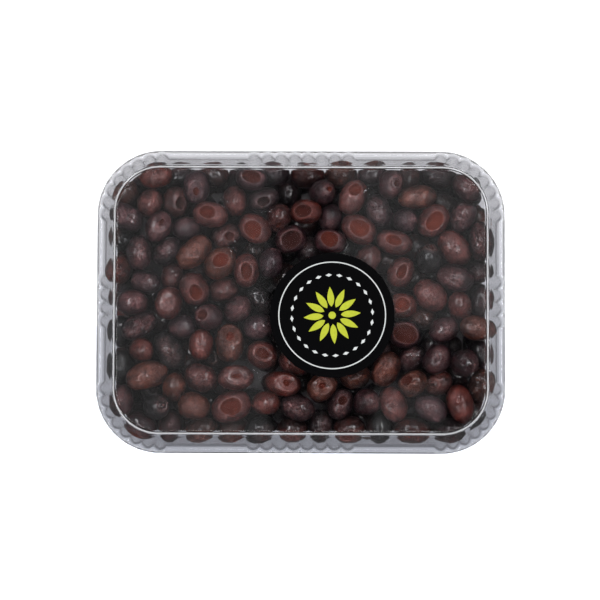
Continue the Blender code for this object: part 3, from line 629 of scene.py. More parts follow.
def sink_of_ring(ring, depth, shouldered):
    """How far a ring is pressed in; the lips round a hole and a dent stand up a little."""
    if ring <= 1:
        return depth * (1 - smooth_step(ring, 0.55, 1.03))
    if ring <= 2 and shouldered:
        return -LIP_RISE * math.sin(math.pi * (ring - 1))
    if ring <= 2:
        return DENT_DEPTH * (1 - smooth_step(ring, 1.6, 2.0))
    if ring <= 3 and not shouldered:
        return -LIP_RISE * math.exp(-((ring - 2.08) / 0.06) ** 2)
    return 0.0


def olive_from_ball(sphere, sizes, long_way, pointed):
    """Draws the unit ball out to an olive's size, with blunt ends or one point."""
    length_share = sphere[:, long_way]
    across = np.sqrt((1 - np.abs(length_share) ** BLUNTNESS) / np.maximum(1 - length_share ** 2, 1e-6))
    across = np.where(np.abs(length_share) > 0.999, math.sqrt(BLUNTNESS / 2), across)
    grown = sphere * across[:, None]
    grown[:, long_way] = length_share
    if pointed:
        grown[:, long_way] += POINT_LENGTH * np.maximum(length_share, 0) ** 10
    return grown * sizes


def lengthwise_creases(place, long_way, rng):
    """Creases that run roughly along the olive, 1 in the fold of each."""
    bend = 1.5 * soft_waves(place, rng, BEND_WAVELENGTH)
    creased = np.zeros(len(place))
    for wavelength in CREASE_WAVELENGTHS:
        way = rng.normal(size=3) * np.where(np.arange(3) == long_way, ALONG_SHARE, 1)
        folds = np.abs(np.sin(place @ unit(way) * (math.pi / wavelength) + bend + rng.uniform(0, 6)))
        creased = np.maximum(creased, (1 - folds) ** 2)
    return creased


def shape_olive(sizes, hole, shift, dent, wrinkling, pointed, rng, rings, spokes):
    """One olive in its own axes, its hole facing +Z: points, how pale each is (pale rims and painted sheen),
    how fleshy, and how creased (for painted shade in the creases).
    """
    sizes, hole, dent = np.array(sizes), np.array(hole), np.array(dent)
    long_way = 0 if sizes[0] > sizes[2] else 2
    shouldered = dent[0] == 0
    if shouldered:
        dent = hole + SHOULDER
    turns = 2 * math.pi * np.arange(spokes) / spokes
    circle = np.stack((np.cos(turns), np.sin(turns)), 1)
    wobble = 1 + 0.05 * np.sin(2 * turns + rng.uniform(0, 6)) + 0.03 * np.sin(3 * turns + rng.uniform(0, 6))
    middle = np.array((shift, 0.0)) / sizes[:2]
    hole_edge, dent_edge = (edge_on_ball(middle, size, sizes, circle, wobble) for size in (hole, dent))
    depth = HOLE_DEPTH * min(1, hole[1] / (2 * SMALL_HOLE)) * (PIT_SHARE if hole[0] < SMALL_HOLE else 1)
    points = []
    for ring in rings:
        sphere = ring_on_ball(ring, middle, hole_edge, dent_edge, circle)
        sink = sink_of_ring(ring, depth, shouldered)
        inward = np.array((0, 0, 1.0)) if ring <= 2 else unit(sphere / sizes)
        points.append(olive_from_ball(sphere, sizes, long_way, pointed) - inward * sink)
    points = np.array(points)
    spread_rings = np.repeat(rings, spokes)
    pale = np.array([rim_pale_and_highlight(ring, shouldered, hole[0]) for ring in spread_rings])
    flesh = 1 - smooth_step(spread_rings, 0.93, 1.1) if hole[0] > SMALL_HOLE else np.zeros(len(pale))
    place = points.reshape(-1, 3)
    outward = unit(place / sizes ** 2)
    skin = 1 - smooth_step(2.0 - spread_rings, 0.0, 1.0) * 0.6
    lumps = soft_waves(place, rng, LUMP_WAVELENGTH)
    creased = lengthwise_creases(place, long_way, rng)
    relief = LUMP_HEIGHT * lumps - wrinkling * CREASE_DEPTH * creased
    place += outward * (relief * skin)[:, None]
    patches = soft_waves(place, rng, PATCH_WAVELENGTH)
    # Painted highlight: the pale rim is brighter on one side of each olive, as if lit from there.
    one_sided = 0.75 + 0.35 * np.tile(np.cos(turns - rng.uniform(0, 6)), len(rings))
    # Painted sheen: the skin that faces +Z, the side turned to the plastic, is made pale.
    pale_and_sheen = 0.6 * smooth_step(outward[:, 2] + 0.25 * patches, 0.62, 1.02) * (0.8 + 0.5 * lumps)
    pale = np.maximum(pale * one_sided * (1 + 0.5 * patches), pale_and_sheen)
    return place, pale, flesh, creased * wrinkling * skin


def rim_pale_and_highlight(ring, shouldered, hole_length):
    """The pale line round a hole or a pressed dent: round a hole partly exposed flesh and partly a painted
    highlight on its rounded lip.
    """
    if shouldered and hole_length > SMALL_HOLE:
        return float(0.62 * math.exp(-((ring - 1.3) / 0.34) ** 2))
    if shouldered:
        return float(0.4 * math.exp(-((ring - 1.2) / 0.5) ** 2))
    dent_line = 0.6 * math.exp(-((ring - 1.95) / 0.16) ** 2)
    hole_line = 0.4 * math.exp(-((ring - 1.15) / 0.15) ** 2) if hole_length > SMALL_HOLE else 0.0
    return float(max(dent_line, hole_line, 0.3 * (ring < 2)))


def skin_faces(rings, spokes, first=0):
    """Faces between rings of points; the first and last rings are drawn together to a point."""
    faces = []
    for row in range(rings - 1):
        for step in range(spokes):
            following = (step + 1) % spokes
            low, high = first + row * spokes, first + (row + 1) * spokes
            faces.append((low + step, high + step, high + following, low + following))
    return faces


def add_values(mesh, name, values, kind="FLOAT"):
    """Stores one value for each point of a mesh, for its material to read."""
    made = mesh.attributes.new(name, kind, "POINT")
    field = {"FLOAT": "value", "INT": "value", "QUATERNION": "value", "FLOAT_VECTOR": "vector",
             "FLOAT_COLOR": "color"}[kind]
    made.data.foreach_set(field, np.asarray(values, dtype=np.int32 if kind == "INT" else np.float32).ravel())


def mix(material, how, share, first, second):
    """Lays the second colour over the first by a share, plainly or in the named blend."""
    made = add_node(material, "ShaderNodeMix", {0: share, 6: first, 7: second},
                    data_type="RGBA", blend_type=how)
    return made.outputs[2]


def calculate(material, operation, *values):
    return add_node(material, "ShaderNodeMath", dict(enumerate(values)), operation=operation).outputs["Value"]


def spread(material, value, low, high, to_low=0.0, to_high=1.0):
    """Spreads the stretch of a value from low to high over another stretch, and holds it there."""
    made = add_node(material, "ShaderNodeMapRange", {
        "Value": value, "From Min": low, "From Max": high, "To Min": to_low, "To Max": to_high})
    return made.outputs["Result"]


def fold_lines(material, place, scale, detail, distortion, width, on_line, between):
    """Thin wandering lines, where a noise crosses its middle: one value on them, another between."""
    folds = noise(material, place, scale, detail, distortion)
    away = calculate(material, "ABSOLUTE", calculate(material, "SUBTRACT", folds, 0.5))
    return spread(material, away, 0, width, on_line, between)


def skin_colour(material, place, own, grain, furrow, lines):
    """The skin's own colour, mottled, with painted shade in its creases and furrows, pale round its hole
    partly as painted highlight, a painted sheen where it faces +Z, the flesh in it, and painted shade deep in
    the heap.
    """
    colour = add_node(material, "ShaderNodeAttribute", attribute_name="skin_colour").outputs["Color"]
    blotches = noise(material, place, BLOTCHES_SCALE, 4)
    deep = mix(material, "MULTIPLY", 1, colour, DEEP_TINT)
    light = mix(material, "MULTIPLY", 1, colour, LIGHT_TINT)
    skin = mix(material, "MIX", spread(material, blotches, 0.34, 0.68), deep, light)
    skin = mix(material, "OVERLAY", 0.2, skin, grain)
    # Painted shade: darker in the creases and along the furrows.
    skin = mix(material, "MULTIPLY", own["crease"], skin, PAINTED_CREASE_SHADE)
    skin = mix(material, "MULTIPLY", spread(material, furrow, 0, 1, 0, 0.6), skin, PAINTED_FURROW_SHADE)
    # Pale rims round holes and dents, partly painted highlight, and the painted sheen, broken up by grain and
    # fine lines.
    pale_and_sheen_share = calculate(material, "MULTIPLY", own["pale"], spread(material, grain, 0.36, 0.62, 0.25, 1.15))
    pale_and_sheen_share = calculate(material, "MULTIPLY", pale_and_sheen_share, lines)
    pale_and_sheen = mix(material, "MIX", 0.5, PALE_AND_SHEEN_SKIN, mix(material, "ADD", 1, colour, colour))
    skin = mix(material, "MIX", pale_and_sheen_share, skin, pale_and_sheen)
    flesh = mix(material, "MIX", own["glow"], DULL_FLESH, BRIGHT_FLESH)
    flesh = mix(material, "MULTIPLY", 0.45, flesh, blotches)
    whole = mix(material, "MIX", own["flesh"], skin, flesh)
    # Painted shade: the skin is darkened towards the shade tint the deeper it lies in the heap.
    return mix(material, "MULTIPLY", own["depth"], whole, SHADE_TINT)


def olive_skin(name):
    """Moist wrinkled skin: mottled, with painted shade in its creases, pale round its holes partly as painted
    highlight, with a painted sheen where it faces out, red inside.
    """
    material, skin, _, place = new_material(name)
    own = {key: add_node(material, "ShaderNodeAttribute", attribute_name=key).outputs["Fac"]
           for key in ("pale", "flesh", "crease", "glow", "depth", "wrinkled")}
    on_skin = spread(material, own["flesh"], 0, 1, 1, 0)
    grain = noise(material, place, GRAIN_SCALE, 4)
    furrow = fold_lines(material, place, FURROWS_SCALE, 2, 1.4, 0.09, 1, 0)
    furrow = calculate(material, "MULTIPLY", furrow, own["wrinkled"])
    lines = fold_lines(material, place, LINES_SCALE, 1, 2.2, 0.08, 0.1, 1)
    wire(material, skin_colour(material, place, own, grain, furrow, lines), skin.inputs["Base Color"])
    dullness = calculate(material, "MAXIMUM", spread(material, grain, 0.3, 0.7, 0.26, 0.46), own["flesh"])
    wire(material, dullness, skin.inputs["Roughness"])
    skin.inputs["Specular IOR Level"].default_value = 0.22
    wet = spread(material, noise(material, place, WET_PATCHES_SCALE, 1), 0.5, 0.62, 0.12, 0.8)
    wire(material, calculate(material, "MULTIPLY", wet, on_skin), skin.inputs["Coat Weight"])
    skin.inputs["Coat Roughness"].default_value = 0.12
    pores = add_node(material, "ShaderNodeTexVoronoi", {"Vector": place, "Scale": PORES_SCALE},
                     feature="SMOOTH_F1").outputs["Distance"]
    relief = bump(material, pores, spread(material, on_skin, 0, 1, 0.1, 0.3), 0.25 * MM)
    relief = bump(material, furrow, on_skin, 0.5 * MM, relief, invert=True)
    relief = bump(material, lines, on_skin, 0.15 * MM, relief)
    relief = bump(material, grain, spread(material, on_skin, 0, 1, 0.1, 0.4), 0.2 * MM, relief)
    wire(material, relief, skin.inputs["Normal"])
    return material


# Values an olive's shape hands to its skin: pale carries the pale rims and the painted sheen, crease the
# painted shade in the creases.
SKIN_VALUES = ("pale", "flesh", "crease")
LOOKS_SEED = 11
SHADE_RANGE = (0.85, 1.15)
FACING_SPREAD = 0.08
fruit_skin = olive_skin("olive skin")
centres, axes, half_lengths, half_widths = settle_olives()
rng = np.random.default_rng(LOOKS_SEED)


def upright_frame(axis, facing):
    """Columns of an olive's own axes: along it, across it, and the way its hole faces."""
    up = unit(facing - axis * (facing @ axis))
    return np.column_stack((axis, np.cross(up, axis), up))


def add_depths(piece):
    """Stores how far each point of the heap lies in from the plastic, as the share of painted shade, from 0
    to 1.
    """
    places = np.empty(len(piece.data.vertices) * 3)
    piece.data.vertices.foreach_get("co", places)
    depth = np.minimum.reduce(depth_inside(places.reshape(-1, 3)))
    add_values(piece.data, "depth", smooth_step(depth, *SHADED_DEPTHS))


points, faces, colours, glows, folded = [], [], [], [], []
looks = {key: [] for key in SKIN_VALUES}
for index, (colour, glow, wrinkling, *marks) in enumerate(TOP_FACES):
    hole_long, hole_wide, shift, dent_long, dent_wide = np.array(marks) * MM
    axis, length, width = axes[index], half_lengths[index], half_widths[index]
    if TOP_OLIVES[index][5] > STANDING_LIFT:
        axis = axis * np.sign(axis[2])
        side = unit(np.cross(axis, (0.3, 1.0, 0.1)))
        own_axes, sizes = np.column_stack((side, np.cross(axis, side), axis)), (width, width, length)
    else:
        facing = np.array((0, 0, 1.0)) + FACING_SPREAD * rng.normal(size=3)
        own_axes, sizes = upright_frame(axis, facing), (length, width, width)
    shaped, *values = shape_olive(
        sizes, (hole_long, hole_wide), shift, (dent_long, dent_wide),
        wrinkling, index in POINTED_OLIVES, rng, FINE_RINGS, FINE_SPOKES)
    first = sum(len(batch) for batch in points)
    points.append(centres[index] + shaped @ own_axes.T)
    faces += skin_faces(len(FINE_RINGS), FINE_SPOKES, first)
    for key, value in zip(SKIN_VALUES, values):
        looks[key].append(value)
    shade = rng.uniform(*SHADE_RANGE)
    colours.append(np.tile((*(np.array(SKINS[colour]) * shade), 1.0), (len(shaped), 1)))
    glows.append(np.full(len(shaped), glow))
    folded.append(np.full(len(shaped), wrinkling))


def close_olives(name, all_points, all_faces, values):
    """Makes olives one piece: stores their looks, then draws each pole together to one point."""
    mesh = bpy.data.meshes.new(name)
    mesh.from_pydata(all_points.tolist(), [], all_faces)
    for key, value in values.items():
        add_values(mesh, key, value, "FLOAT_COLOR" if key == "skin_colour" else "FLOAT")
    shape = bmesh.new()
    shape.from_mesh(mesh)
    bmesh.ops.remove_doubles(shape, verts=shape.verts, dist=0.002 * MM)
    bmesh.ops.recalc_face_normals(shape, faces=shape.faces)
    shape.to_mesh(mesh)
    shape.free()
    mesh.materials.append(fruit_skin)
    mesh.shade_smooth()
    made = bpy.data.objects.new(name, mesh)
    bpy.context.scene.collection.objects.link(made)
    return made


top_values = {key: np.concatenate(value) for key, value in looks.items()}
top_values["skin_colour"] = np.concatenate(colours)
top_values["glow"] = np.concatenate(glows)
top_values["wrinkled"] = np.concatenate(folded)
top_olives = close_olives("top_olives", np.concatenate(points), faces, top_values)
add_depths(top_olives)
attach(top_olives, "root")
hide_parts("olives")

# The rest of the heap, as deep as can be seen, is set out from a few shapes of olive.
MIDDLE_LENGTH = 8.75 * MM
MIDDLE_WIDTH = 6.35 * MM
PATTERN_HOLES = ((6.5, 5), (5, 4.6), (7, 5), (4.5, 3.6), (3.5, 2.8), (4.2, 2.4))
WHOLE_WRINKLES = (0.1, 0.3, 0.5, 0.6, 0.9, 1.0, 0.4, 0.2)
END_HOLES = ((4.5, 4.5), (2.4, 2.4))
DIMPLE = (0.8, 0.8)
PATTERN_DENT = (8 * MM, 6.5 * MM)
PILE_SHADE_RANGE = (0.8, 1.15)
PILE_FACING_SPREAD = 0.35
# How far in from the wall, the lid and the base an olive may show.
SEEN_DEPTHS = (18 * MM, 28 * MM, 13 * MM)
PILE_SKINS = ("plum", "red", "plum", "pink", "brown", "slate", "red", "plum", "black", "brown")
WALL_SKINS = (
    "slate", "slate", "pink", "slate", "slate", "red", "brown", "slate", "pink", "plum", "plum",
    "slate", "brown", "black", "plum", "red", "black", "red", "plum", "red", "black", "brown",
    "brown", "plum", "plum", "black", "black", "slate", "red", "black", "brown",
)
GAP_SKINS = (
    "pink", "pink", "slate", "pink", "pink", "pink", "slate", "slate", "pink", "slate", "pink",
    "slate", "slate", "plum", "pink", "plum", "pink", "brown", "plum", "red", "brown", "brown",
    "plum", "plum", "slate", "plum", "slate", "red", "brown", "red",
)


def set_out_tree(name, finish):
    """Geometry nodes that lay one shape from a collection on each point, turned and sized by it."""
    tree = bpy.data.node_groups.new(name, "GeometryNodeTree")
    tree.interface.new_socket("Points", in_out="INPUT", socket_type="NodeSocketGeometry")
    tree.interface.new_socket("Shapes", in_out="INPUT", socket_type="NodeSocketCollection")
    tree.interface.new_socket("Size", in_out="INPUT", socket_type="NodeSocketFloat")
    tree.interface.new_socket("Pieces", in_out="OUTPUT", socket_type="NodeSocketGeometry")
    given = tree.nodes.new("NodeGroupInput")
    shapes = tree.nodes.new("GeometryNodeCollectionInfo")
    shapes.inputs["Separate Children"].default_value = True
    shapes.inputs["Reset Children"].default_value = True
    stored = {}
    for key, kind in (("turned", "QUATERNION"), ("sizes", "FLOAT_VECTOR"), ("which", "INT")):
        stored[key] = tree.nodes.new("GeometryNodeInputNamedAttribute")
        stored[key].data_type = kind
        stored[key].inputs["Name"].default_value = key
    sized = tree.nodes.new("ShaderNodeVectorMath")
    sized.operation = "SCALE"
    laid = tree.nodes.new("GeometryNodeInstanceOnPoints")
    laid.inputs["Pick Instance"].default_value = True
    real = tree.nodes.new("GeometryNodeRealizeInstances")
    finished = tree.nodes.new("GeometryNodeSetMaterial")
    finished.inputs["Material"].default_value = finish
    result = tree.nodes.new("NodeGroupOutput")
    for source, target in (
        (given.outputs["Shapes"], shapes.inputs["Collection"]),
        (given.outputs["Points"], laid.inputs["Points"]),
        (shapes.outputs["Instances"], laid.inputs["Instance"]),
        (stored["which"].outputs["Attribute"], laid.inputs["Instance Index"]),
        (stored["turned"].outputs["Attribute"], laid.inputs["Rotation"]),
        (stored["sizes"].outputs["Attribute"], sized.inputs[0]),
        (given.outputs["Size"], sized.inputs["Scale"]),
        (sized.outputs["Vector"], laid.inputs["Scale"]),
        (laid.outputs["Instances"], real.inputs["Geometry"]),
        (real.outputs["Geometry"], finished.inputs["Geometry"]),
        (finished.outputs["Geometry"], result.inputs["Pieces"]),
    ):
        tree.links.new(source, target)
    return tree


def set_out(name, places, turned, sizes, which, shapes, finish, values=None):
    """Lays shapes out with geometry nodes and keeps the result as one plain piece."""
    mesh = bpy.data.meshes.new(name)
    mesh.from_pydata(np.asarray(places).tolist(), [], [])
    add_values(mesh, "turned", turned, "QUATERNION")
    add_values(mesh, "sizes", sizes, "FLOAT_VECTOR")
    add_values(mesh, "which", which, "INT")
    for key, value in (values or {}).items():
        add_values(mesh, key, value, "FLOAT_COLOR" if key == "skin_colour" else "FLOAT")
    made = bpy.data.objects.new(name, mesh)
    bpy.context.scene.collection.objects.link(made)
    layout = made.modifiers.new("set out", "NODES")
    layout.node_group = set_out_tree(name, finish)
    sockets = {item.name: item.identifier for item in layout.node_group.interface.items_tree}
    layout[sockets["Shapes"]] = shapes
    layout[sockets["Size"]] = 1.0
    seen = made.evaluated_get(bpy.context.evaluated_depsgraph_get())
    plain = bpy.data.meshes.new_from_object(seen)
    made.modifiers.clear()
    made.data = plain
    for shape in list(shapes.objects):
        bpy.data.objects.remove(shape, do_unlink=True)
    bpy.data.collections.remove(shapes)
    return made


def quaternions(frames):
    """Turns 3 by 3 frames, as columns, into quaternions w, x, y, z."""
    return [tuple(Matrix(frame_columns.tolist()).to_quaternion()) for frame_columns in frames]


patterns = bpy.data.collections.new("olive shapes")
lying, standing = (MIDDLE_LENGTH, MIDDLE_WIDTH, MIDDLE_WIDTH), (MIDDLE_WIDTH, MIDDLE_WIDTH, MIDDLE_LENGTH)
pattern_specs = [(lying, hole, 0.2) for hole in PATTERN_HOLES]
pattern_specs += [(lying, DIMPLE, wrinkling) for wrinkling in WHOLE_WRINKLES]
pattern_specs += [(standing, hole, 0.3) for hole in END_HOLES]
for number, (sizes, hole, wrinkling) in enumerate(pattern_specs):
    dent = PATTERN_DENT if 2 < hole[0] < 5 and sizes is lying else (0, 0)
    shaped, *values = shape_olive(sizes, np.array(hole) * MM, rng.uniform(-1.5, 1.5) * MM, dent,
                                  wrinkling, False, rng, COARSE_RINGS, COARSE_SPOKES)
    if sizes is standing:
        shaped = np.column_stack((shaped[:, 2], shaped[:, 1], -shaped[:, 0]))
    pattern = close_olives(f"shape {number:02d}", shaped, skin_faces(len(COARSE_RINGS), COARSE_SPOKES),
                           dict(zip(SKIN_VALUES, values)))
    bpy.context.scene.collection.objects.unlink(pattern)
    patterns.objects.link(pattern)

from_wall, from_lid, from_base = depth_inside(centres)
seen = (from_wall < SEEN_DEPTHS[0]) | (from_lid < SEEN_DEPTHS[1]) | (from_base < SEEN_DEPTHS[2])
seen[:len(TOP_OLIVES)] = False
pile = np.nonzero(seen)[0]
outward, _ = past_core(centres)
frames, skins, glow_levels, folds = [], [], [], []
for index in pile:
    facing = np.array((*outward[index], 0.4)) if from_wall[index] < from_lid[index] else np.array((0, 0, 1.0))
    if from_base[index] < min(from_wall[index], from_lid[index]):
        facing = np.array((0, 0, -1.0))
    facing = unit(facing + PILE_FACING_SPREAD * rng.normal(size=3))
    frames.append(upright_frame(axes[index], facing))
    skin_name = PILE_SKINS[rng.integers(len(PILE_SKINS))]
    if len(TOP_OLIVES) <= index < len(PLACED_OLIVES):
        skin_name = (WALL_SKINS + GAP_SKINS)[index - len(TOP_OLIVES)]
    skins.append((*(np.array(SKINS[skin_name]) * rng.uniform(*PILE_SHADE_RANGE)), 1.0))
    glow_levels.append(rng.uniform(0.1, 0.9))
    folds.append(rng.uniform(0, 1))
widths = half_widths[pile] / MIDDLE_WIDTH
heap = set_out(
    "heap_olives", centres[pile], quaternions(frames),
    np.column_stack((half_lengths[pile] / MIDDLE_LENGTH, widths, widths)),
    rng.integers(len(pattern_specs), size=len(pile)), patterns, fruit_skin,
    {"skin_colour": skins, "glow": glow_levels, "wrinkled": folds})
add_depths(heap)
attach(heap, "root")
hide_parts("olives")

# A block of painted shade fills the heap behind the olives that can be seen.
CORE_DEPTHS = (13 * MM, 21 * MM, 9 * MM)


def build_core():
    """A plain block that fills the unseen middle of the heap."""
    low, high = HEAP_FLOOR + CORE_DEPTHS[2], HEAP_CEILING - CORE_DEPTHS[1]
    corners, around = [], stations[::FLUTE_STEPS]
    for height in (low, high):
        reach = room_at(height) - CORE_DEPTHS[0]
        corners += [(x + outward_x * reach, y + outward_y * reach, height)
                    for x, y, outward_x, outward_y, _ in around]
    count = len(around)
    sides = [(step, (step + 1) % count, count + (step + 1) % count, count + step) for step in range(count)]
    return corners, sides + [tuple(range(count)), tuple(range(count, 2 * count))]


# Painted shade: near black, a little mottled, for the hidden middle of the heap.
def painted_heap_shade(name):
    material, dark, _, place = new_material(name)
    patches = noise(material, place, 150, 3)
    wire(material, mix(material, "MIX", patches, (0.004, 0.003, 0.004, 1), (0.02, 0.012, 0.012, 1)),
         dark.inputs["Base Color"])
    dark.inputs["Roughness"].default_value = 0.4
    return material


core = add_piece("heap_core", *build_core(), painted_heap_shade("dark of the heap"), crease=30)
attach(core, "root")
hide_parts("olives")


# The lid
# A second sheet of the same PET. Its flat panel is framed by a raised bead, and its fluted
# wall slopes down to a flange whose turned-down edge grips the tray's.
RIM_REACH = 30 * MM
LID_TOP = 52 * MM
PANEL_REACH = 19.8 * MM
BEAD_REACHES = (20.25 * MM, 21.55 * MM)
BEAD_RIDGE = 20.9 * MM
BEAD_FALL = 0.09 * MM
BEAD_PAINTED_HIGHLIGHT = 0.65
LID_SKIRT_FOOT = 37.5 * MM
LID_BENDS_LIGHT = 1.38
LID_BOWING = 0.12 * MM
LID_CLEAR_SHARE = 0

lid_plastic = clear_plastic("lid plastic", LID_BENDS_LIGHT, LID_BOWING, LID_CLEAR_SHARE)
lid = closed_sheet("lid_sheet", (
    (PANEL_REACH - 2 * MM, PANEL_TOP, 0, 0),
    (PANEL_REACH, PANEL_TOP, 0, 0.4 * MM),
    (BEAD_REACHES[0], LID_TOP - BEAD_FALL, 0, 0.15 * MM),
    (BEAD_RIDGE, LID_TOP, 0, 0),
    (BEAD_REACHES[1], LID_TOP - BEAD_FALL, 0, 0.15 * MM),
    (LID_WALL_TOP_REACH, PANEL_TOP, 0.1, 0.7 * MM),
    (LID_WALL_FOOT_REACH - 0.5 * MM, LID_FLANGE_TOP, 1.4, 1.1 * MM),
    (RIM_REACH, LID_FLANGE_TOP, 0, 0.6 * MM),
    (RIM_REACH, LID_SKIRT_FOOT, 0, 0),
), -LID_WALL, lid_plastic)
# The ridge of the bead carries a painted highlight in diffuse white.
heights = np.array([point.co.z for point in lid.data.vertices])
add_values(lid.data, "painted_bead_highlight", BEAD_PAINTED_HIGHLIGHT * (heights > LID_TOP - BEAD_FALL / 2))
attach(lid, "root")
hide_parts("lid")

# Under the panel hang a few drops of condensation, in loose clusters.
DROP_CLUSTERS = ((-36, 45), (-32, 24), (-19, -35), (-15, 42), (54, -25), (80, -35), (31, 50), (-68, 5))
DROPS_IN_CLUSTER = 11
CLUSTER_SPREAD = 1.7 * MM
DROP_RADII = (0.12 * MM, 0.42 * MM)
DROP_FLATNESS = 0.55

drop_shape = bmesh.new()
bmesh.ops.create_icosphere(drop_shape, subdivisions=2, radius=1)
drop_mesh = bpy.data.meshes.new("drop")
drop_shape.to_mesh(drop_mesh)
drop_shape.free()
drop_mesh.materials.append(lid_plastic)
drop_mesh.shade_smooth()
drops = bpy.data.collections.new("drops")
drops.objects.link(bpy.data.objects.new("drop", drop_mesh))
drop_count = len(DROP_CLUSTERS) * DROPS_IN_CLUSTER
drop_middles = np.repeat(np.array(DROP_CLUSTERS) * MM, DROPS_IN_CLUSTER, axis=0)
drop_places = np.column_stack((drop_middles + rng.normal(size=(drop_count, 2)) * CLUSTER_SPREAD,
                               np.full(drop_count, PANEL_TOP - LID_WALL)))
drop_sizes = rng.uniform(*DROP_RADII, drop_count)[:, None] * (1, 1, DROP_FLATNESS)
condensation = set_out("condensation", drop_places, np.tile((1.0, 0, 0, 0), (drop_count, 1)), drop_sizes,
                       np.zeros(drop_count), drops, lid_plastic)
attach(condensation, "root")
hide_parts("lid")


# The label
# A round sticker of satin black paper on the lid's panel, a little right of its middle,
# with its ornament printed in lime and white.
LABEL_RADIUS = 28.7 * MM
LABEL_CENTRE = np.array((14.4 * MM, -7 * MM))
LABEL_BOTTOM = PANEL_TOP + 0.05 * MM
LABEL_TOP = PANEL_TOP + 0.35 * MM
LABEL_EDGE = 0.06 * MM
LABEL_SIDES = 144
INK = 0.02 * MM


def disc(radii_and_heights, sides, centre):
    """A turned piece: its section's points from the bottom middle outwards and up to the top middle."""
    turns = 2 * math.pi * np.arange(sides) / sides
    rows = [np.column_stack((centre[0] + radius * np.cos(turns), centre[1] + radius * np.sin(turns),
                             np.full(sides, height))) for radius, height in radii_and_heights]
    faces = skin_faces(len(rows), sides)
    last = (len(rows) - 1) * sides
    faces += [tuple(range(sides)), tuple(range(last, last + sides))]
    return np.concatenate(rows), faces


def label_paper(name):
    material, paper, _, place = new_material(name)
    fibres = noise(material, place, 1500, 3)
    wire(material, mix(material, "MIX", fibres, (0.0003, 0.0003, 0.0005, 1), (0.0012, 0.0012, 0.0017, 1)),
         paper.inputs["Base Color"])
    paper.inputs["Roughness"].default_value = 0.5
    paper.inputs["Specular IOR Level"].default_value = 0.02
    wire(material, bump(material, fibres, 0.15, 0.05 * MM), paper.inputs["Normal"])
    return material


label = add_piece("label_disc", *disc(
    ((LABEL_RADIUS - LABEL_EDGE, LABEL_BOTTOM), (LABEL_RADIUS, LABEL_BOTTOM + LABEL_EDGE),
     (LABEL_RADIUS, LABEL_TOP - LABEL_EDGE), (LABEL_RADIUS - LABEL_EDGE, LABEL_TOP)),
    LABEL_SIDES, LABEL_CENTRE), label_paper("label paper"), crease=40)
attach(label, "root")
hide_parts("label")

# Its ornament is ink: a rosette of pointed petals round a dot, a ring of small lozenges
# and a thin outer ring.
PRINT_TURN = 5
PETALS = 12
PETAL_REACH = (4 * MM, 13.2 * MM)
PETAL_HALF_WIDTH = 1.55 * MM
LOZENGES = 24
LOZENGE_RING = 18.6 * MM
LOZENGE_HALF_SIZES = (1.5 * MM, 0.75 * MM)
RING_REACH = (24.3 * MM, 24.8 * MM)
HEART_RADIUS = 1.7 * MM
HEART_SIDES = 36
INK_THINNED = 0.86


def ink(name, colour):
    """Printed ink, a little uneven where the paper's grain shows through."""
    material, paint, _, place = new_material(name)
    grain = spread(material, noise(material, place, 900, 3), 0.3, 0.7)
    thin = (*(INK_THINNED * np.array(colour)), 1)
    wire(material, mix(material, "MIX", grain, thin, (*colour, 1)), paint.inputs["Base Color"])
    paint.inputs["Roughness"].default_value = 0.5
    paint.inputs["Specular IOR Level"].default_value = 0.1
    return material


lime_ink, white_ink = ink("lime ink", srgb(178, 186, 52)), ink("white ink", srgb(205, 209, 209))


def stamp(outline):
    """A flat shape as thick as ink, cut out along an outline."""
    count = len(outline)
    points = [(x, y, height) for height in (0, INK) for x, y in outline]
    sides = [(step, (step + 1) % count, count + (step + 1) % count, count + step) for step in range(count)]
    return points, sides + [tuple(range(count)), tuple(range(count, 2 * count))]


def print_round(name, outline, count, finish):
    """Prints a shape again and again round the middle of the label."""
    shapes = bpy.data.collections.new(name + " shape")
    shape = add_piece(name + " shape", *stamp(outline), finish, crease=40)
    bpy.context.scene.collection.objects.unlink(shape)
    shapes.objects.link(shape)
    turns = np.radians(PRINT_TURN) + 2 * math.pi * np.arange(count) / count
    places = [(*LABEL_CENTRE, LABEL_TOP)] * count
    turned = [(math.cos(turn / 2), 0, 0, math.sin(turn / 2)) for turn in turns]
    made = set_out(name, places, turned, np.ones((count, 3)), np.zeros(count), shapes, finish)
    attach(made, "root")
    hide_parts("label")


shares = np.linspace(0, 1, 11)
petal_x = PETAL_REACH[0] + (PETAL_REACH[1] - PETAL_REACH[0]) * shares
petal_y = PETAL_HALF_WIDTH * np.sin(math.pi * shares ** 0.8) ** 0.9
petal = list(zip(petal_x, -petal_y)) + list(zip(petal_x, petal_y))[-2:0:-1]
print_round("label_petals", petal, PETALS, lime_ink)
long_half, short_half = LOZENGE_HALF_SIZES
lozenge = [(LOZENGE_RING - short_half, 0), (LOZENGE_RING, -long_half),
           (LOZENGE_RING + short_half, 0), (LOZENGE_RING, long_half)]
print_round("label_lozenges", lozenge, LOZENGES, white_ink)

ring_rows = ((RING_REACH[0], LABEL_TOP), (RING_REACH[1], LABEL_TOP),
             (RING_REACH[1], LABEL_TOP + INK), (RING_REACH[0], LABEL_TOP + INK))
ring_points, ring_faces = disc(ring_rows, LABEL_SIDES, LABEL_CENTRE)
closing = [tuple(index % len(ring_points) for index in face)
           for face in skin_faces(2, LABEL_SIDES, 3 * LABEL_SIDES)]
label_ring = add_piece("label_ring", ring_points, ring_faces[:-2] + closing, white_ink, crease=40)
heart_rows = ((HEART_RADIUS, LABEL_TOP), (HEART_RADIUS, LABEL_TOP + INK))
label_heart = add_piece("label_heart", *disc(heart_rows, HEART_SIDES, LABEL_CENTRE), lime_ink, crease=40)
for printed in (label_ring, label_heart):
    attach(printed, "root")
    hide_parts("label")


